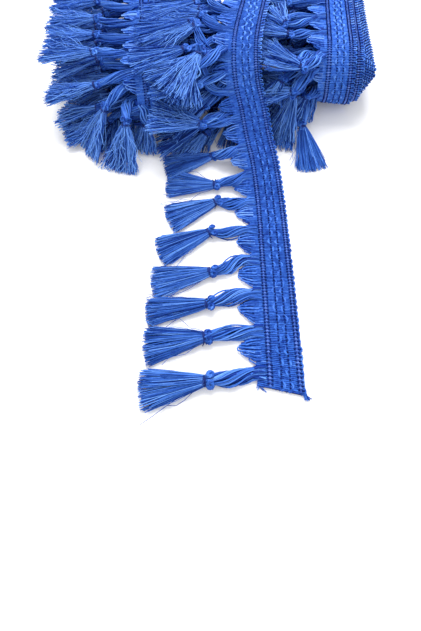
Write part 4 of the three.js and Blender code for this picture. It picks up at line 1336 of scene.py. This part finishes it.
# How the tassels inside a coil differ: spread along it, lean, length and drop of a neck, and turn, droop and
# width of a skirt. The same is given for those under the loose end.
LEFT_INNER_NECK = 25.0
RIGHT_INNER_NECK = 20.0
INNER_STRAY = 1.0
INNER_LEANS = (0.05, 0.16)
INNER_NECKS = (0.85, 1.1)
INNER_DROPS = (0.5, 3.5)
INNER_TURNS = (0.0, 0.15)
INNER_DROOPS = (0.6, 1.2)
INNER_FLARES = (13, 18)
UNDER_ROOT = -8.0  # across the loose end
UNDER_STRAY = 1.5
UNDER_LEANS = (0.0, 0.2)
UNDER_NECKS = (0.9, 1.15)
UNDER_DROPS = (0.0, 3.0)
UNDER_TURNS = (-0.1, 0.3)
UNDER_DROOPS = (0.5, 1.2)
UNDER_FLARES = (16, 22)
PLAIN_NECK_YARNS = 12
PLAIN_KNOT = (2, 9)  # yarns, and points of each
PLAIN_LOWEST_TIE = 3.0
PLAIN_LOWEST_TIP = 1.5
BURIED_FAN_SPREAD = 2.8
BURIED_FAN_BACK = np.array([[4.0], [1.5]])  # how far behind the root the first two points lie


def plain_tassel(strands, ties, fan, root, out, tie, tip, flare, count, rng):
    """A tassel that is one of many in a piece, with fewer yarns in its neck and knot."""
    tie[2], tip[2] = max(tie[2], PLAIN_LOWEST_TIE), max(tip[2], PLAIN_LOWEST_TIP)
    neck_yarns(strands, fan, root, out, tie, rng, PLAIN_NECK_YARNS)
    tie_yarns(strands, ties, tie, unit(tip - tie), rng, *PLAIN_KNOT)
    skirt_yarns(strands, tie, tip, flare, count, rng, thick=PLAIN_RADIUS)


def buried_fan(root, out):
    """First points of a neck whose braid is hidden."""
    right, _ = cross_directions(out)
    return lambda place: root + np.outer(place * BURIED_FAN_SPREAD, right)[:, None] - out * BURIED_FAN_BACK


def many_tassels(name, strands, ties):
    """Two pieces of many tassels: their yarns, and the threads of their ties."""
    yarn_piece(name, strands, TASSEL_YARN)
    yarn_piece(name + "_ties", ties, TIE_THREAD)


def between_tassels(name, rows):
    """The tassels of hidden turns that were placed one by one."""
    rng = seeded(name)
    strands, ties = Strands(), Strands()
    for root, tie, tip, flare in rows:
        root, tie, tip = np.array(root), np.array(tie), np.array(tip)
        out = unit((tie - root) * [1.0, 1.0, BETWEEN_LEVEL])
        plain_tassel(strands, ties, buried_fan(root, out), root, out, tie, tip, flare, BETWEEN_YARNS, rng)
    many_tassels(name, strands, ties)


def inner_tassels(name, coil, neck, rows):
    """The tassels of the turns inside a coil, packed between the others."""
    along, inwards = coil_directions(coil)
    rng = seeded(name)
    strands, ties = Strands(), Strands()
    for height, droop, places in rows:
        for distance in places + rng.normal(0, INNER_STRAY, len(places)):
            out = unit(-inwards + along * rng.normal(*INNER_LEANS))
            root = coil_edge(coil, distance, height)
            tie = root + out * neck * rng.uniform(*INNER_NECKS) - UP * rng.uniform(*INNER_DROPS)
            turned = unit(out + along * rng.normal(*INNER_TURNS))
            tip = tie + turned * INNER_SKIRT - UP * droop * rng.uniform(*INNER_DROOPS)
            fan = coil_fan(coil, distance, height, *SIDE_FAN)
            flare = rng.uniform(*INNER_FLARES)
            plain_tassel(strands, ties, fan, root, out, tie, tip, flare, INNER_YARNS, rng)
    many_tassels(name, strands, ties)


def under_tassels(name, run, rows):
    """The tassels of the turns that the loose end lies on, seen between its own."""
    rng = seeded(name)
    strands, ties = Strands(), Strands()
    for depth, first, last, droop in rows:
        for s in np.arange(first, last, REPEAT):
            s = s + rng.normal(0, UNDER_STRAY)
            root = run.place(s, UNDER_ROOT, 0.0) - UP * depth
            out = unit(run.outwards(s) + np.array([0.0, rng.normal(*UNDER_LEANS), 0.0]))
            tie = root + out * UNDER_NECK * rng.uniform(*UNDER_NECKS) - UP * rng.uniform(*UNDER_DROPS)
            turned = unit(out + np.array([0.0, rng.normal(*UNDER_TURNS), 0.0]))
            tip = tie + turned * INNER_SKIRT - UP * droop * rng.uniform(*UNDER_DROOPS)
            flare = rng.uniform(*UNDER_FLARES)
            plain_tassel(strands, ties, buried_fan(root, out), root, out, tie, tip, flare, UNDER_YARNS, rng)
    many_tassels(name, strands, ties)


# Pieces.

# Reach of the loops on the plain edge. On the loose end it changes from the cut end on.
LOOSE_PICOTS = (11.3, 11.3, 11.5, 12.5, 13.0, 12.9, 12.6, 12.4)
CROSSING_PICOTS = (12.4,)
OUTER_TURNS = 2
OUTER_PICOTS = (12.6,)  # of that many outer turns of a coil
INNER_PICOTS = (11.7,)
SECOND_RIBS_END = 5.5  # the ribs of a coil's second turn end here across it, where the first covers them
INNER_RIBS_END = 7.6
UNDER_FOLD = 10.0  # the full weave of a coil goes this far past its folds on the underside
NECKS_BEFORE = 3  # scallops of a coil go on for this many repeats before its first tassel on top
NECKS_AFTER = 2
WEAVE_FINISHES = {
    "ribs": WEFT_YARN,
    "chains": CHAIN_THREAD,
    "gimps": GIMP_CORD,
    "stitches": BINDING_AND_SHADE,
    "loops": WEFT_YARN,
}


def new_weave():
    """The layers of a weave, still without yarns."""
    return {layer: Strands() for layer in WEAVE_FINISHES}


def weave_pieces(name, weave):
    """A piece of each layer of a weave."""
    layers = WEAVE_FINISHES.items()
    return [yarn_piece(f"{name}_{layer}", weave[layer], finish) for layer, finish in layers]


def full_weave(weave, run, start, end, rng, kind, spring, slant=0.0):
    """All that shows on the face of a braid between its two edges."""
    weave_ribs(weave["ribs"], run, start, end, rng, kind, spring, slant=slant)
    for line in STITCH_COLUMNS:
        stitch_column(weave["stitches"], run, start, end, line, rng, spring, slant)
    for line in CHAIN_LINES:
        chain_line(weave["chains"], run, start, end, line, rng, spring, slant)
    for line in GIMP_LINES:
        gimp_cord(weave["gimps"], weave["stitches"], run, start, end, line, rng, spring, slant)


def dress_run(name, run, first, slant, kind, reach, replaces):
    """The weave of a run that lies loose, with its first neck at the given place: its ground and the rest."""
    rng = seeded(name)
    # The ground is drawn dark: painted shade seen through the holes of the weave.
    ground = ground_sheet(name + "_ground", run, SHADE_GROUND, slant)
    settle(ground, replaces)
    weave = new_weave()
    full_weave(weave, run, 0.0, run.length, rng, kind, SPRINGS_UP, slant)
    picots(weave["loops"], weave["stitches"], run, 0.0, run.length, rng, SPRINGS_UP, reach, slant)
    necks = first + REPEAT * np.arange(-1, int((run.length - first) / REPEAT) + 2)
    scallops(weave["loops"], run, necks, rng, SPRINGS_UP)
    if slant:
        cut_frays(weave["loops"], run, slant, rng)
    body = weave_body(name + "_body", run, 0.0, run.length, WEFT_YARN, SPRINGS_UP, slant)
    return ground, [body, *weave_pieces(name, weave)]


def dress_coil(name, coil, rows):
    """The weave of a coil: the whole outer turn, and the plain edges of the turns inside it."""
    rng = seeded(name)
    # The ground of a coil is drawn dark: painted shade between its turns and tassels.
    settle(coil_ground(name + "_ground", coil, SHADE_GROUND), name)
    weave = new_weave()
    roots = sorted(top_distance(coil, row[0]) for row in rows if row[1] > TOP_ROW_HEIGHT)
    before = roots[0] - REPEAT * np.arange(NECKS_BEFORE, 0, -1)
    after = roots[-1] + REPEAT * np.arange(1, NECKS_AFTER + 1)
    necks = np.concatenate([before, roots, after])
    hidden = coil["length"] / 2 - coil["height"] / 2 - UNDER_FOLD
    for number in range(COIL_TURNS):
        run = turn_run(coil, number)
        start, end = hidden, run.length - hidden
        reach = OUTER_PICOTS if number < OUTER_TURNS else INNER_PICOTS
        picots(weave["loops"], weave["stitches"], run, start, end, rng, COIL_SPRING, reach)
        underside_ribs(weave["ribs"], run, start, end, rng)
        if number == 0:
            full_weave(weave, run, start, end, rng, ONE_YARN, COIL_SPRING)
            weave_body(name + "_body", run, start, end, WEFT_YARN, COIL_SPRING)
            scallops(weave["loops"], run, necks, rng, COIL_SPRING)
        elif number == 1:
            weave_ribs(weave["ribs"], run, start, end, rng, ONE_YARN, COIL_SPRING, SECOND_RIBS_END)
            chain_line(weave["chains"], run, start, end, CHAIN_LINES[0], rng, COIL_SPRING)
            for line in SECOND_COLUMNS:
                stitch_column(weave["stitches"], run, start, end, line, rng, COIL_SPRING)
        else:
            weave_ribs(weave["ribs"], run, start, end, rng, ONE_YARN, COIL_SPRING, INNER_RIBS_END)
            stitch_column(weave["stitches"], run, start, end, EDGE_COLUMN, rng, COIL_SPRING)
    weave_pieces(name, weave)


LOOSE = Run(smooth_line(LOOSE_LINE), np.array([1.0, 0.0, 0.0]))
CROSSING = Run(CROSSING_LINE, np.array([0.0, 1.0, 0.0]))
loose_ground, loose_weave = dress_run(
    "loose_braid", LOOSE, FIRST_TASSEL, CUT_SLANT, TWO_YARNS, LOOSE_PICOTS, "loose_end_braid"
)
loose_tassels = run_tassels("tassel_loose", LOOSE, FIRST_TASSEL, LOOSE_TASSELS, LOOSE_YARNS)
crossing_ground, crossing_weave = dress_run(
    "crossing", CROSSING, CROSSING_FIRST_TASSEL, 0.0, ONE_YARN, CROSSING_PICOTS, "crossing_braid"
)
crossing_tassels = run_tassels(
    "tassel_crossing", CROSSING, CROSSING_FIRST_TASSEL, CROSSING_TASSELS, CROSSING_YARNS
)
dress_coil("coil_left", COILS["left"], LEFT_TASSELS)
dress_coil("coil_right", COILS["right"], RIGHT_TASSELS)
coil_tassels("tassel_left", COILS["left"], LEFT_TASSELS)
coil_tassels("tassel_right", COILS["right"], RIGHT_TASSELS)
inner_tassels("inner_tassels_left", COILS["left"], LEFT_INNER_NECK, LEFT_INNER_ROWS)
inner_tassels("inner_tassels_right", COILS["right"], RIGHT_INNER_NECK, RIGHT_INNER_ROWS)
under_tassels("under_tassels", LOOSE, UNDER_ROWS)
between_tassels("between_tassels", BETWEEN_TASSELS)

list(loose_weave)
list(crossing_weave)


# Floor, light and camera.

WHITE = (1.0, 1.0, 1.0, 1.0)
FLOOR_HALF = 3.0
FLOOR_COLOUR = (0.93, 0.93, 0.93, 1.0)
FLOOR_ROUGHNESS = 0.9
FLOOR_GLOSS = 0.1
FLOOR_PAINTED_GLOW = 0.05  # FLOOR_PAINTED_GLOW = 0.05 # painted light: the floor glows a little, so that shadows on it stay pale
SKY_STRENGTH = 1.02
KEY_PLACE = (-0.0166, 0.34, 0.53)
KEY_SIZE = 0.45
KEY_POWER = 5.9
NEAREST_SEEN = 0.01


def floor():
    """A wide pale floor under the part."""
    finish = bpy.data.materials.new("pale_floor")
    finish.use_nodes = True
    shader = finish.node_tree.nodes["Principled BSDF"]
    shader.inputs["Base Color"].default_value = FLOOR_COLOUR
    shader.inputs["Roughness"].default_value = FLOOR_ROUGHNESS
    shader.inputs["Specular IOR Level"].default_value = FLOOR_GLOSS
    # Painted light: a faint glow that keeps the floor's shadows pale.
    shader.inputs["Emission Color"].default_value = WHITE
    shader.inputs["Emission Strength"].default_value = FLOOR_PAINTED_GLOW
    points = [(x * FLOOR_HALF, y * FLOOR_HALF, 0.0) for x, y in ((-1, -1), (1, -1), (1, 1), (-1, 1))]
    mesh = bpy.data.meshes.new("floor")
    mesh.from_pydata(points, [], [(0, 1, 2, 3)])
    mesh.materials.append(finish)
    plane = bpy.data.objects.new("floor", mesh)
    bpy.context.scene.collection.objects.link(plane)


def key_light():
    """A soft light that looks at the part."""
    lamp = bpy.data.lights.new("key", "AREA")
    lamp.size = KEY_SIZE
    lamp.energy = KEY_POWER
    light = bpy.data.objects.new("key", lamp)
    light.location = KEY_PLACE
    aim = -light.location
    light.rotation_euler = aim.to_track_quat("-Z", "Y").to_euler()
    bpy.context.scene.collection.objects.link(light)


def studio():
    """Even white light from all sides, and the key light."""
    scene = bpy.context.scene
    scene.view_settings.view_transform = "Standard"
    world = bpy.data.worlds.new("studio")
    world.use_nodes = True
    sky = world.node_tree.nodes["Background"]
    sky.inputs["Color"].default_value = WHITE
    sky.inputs["Strength"].default_value = SKY_STRENGTH
    scene.world = world
    key_light()


def camera():
    """The photograph's own view of the part."""
    data = bpy.data.cameras.new("camera")
    data.sensor_width = SENSOR
    data.lens = SENSOR * FOCAL_PIXELS / PICTURE_HEIGHT
    data.shift_y = -AXIS_ABOVE_MIDDLE / PICTURE_HEIGHT
    data.clip_start = NEAREST_SEEN
    eye = bpy.data.objects.new("camera", data)
    eye.location = CAMERA_PLACE
    eye.rotation_euler = (math.radians(CAMERA_TILT), 0.0, 0.0)
    bpy.context.scene.collection.objects.link(eye)
    bpy.context.scene.camera = eye


floor()
studio()
camera()
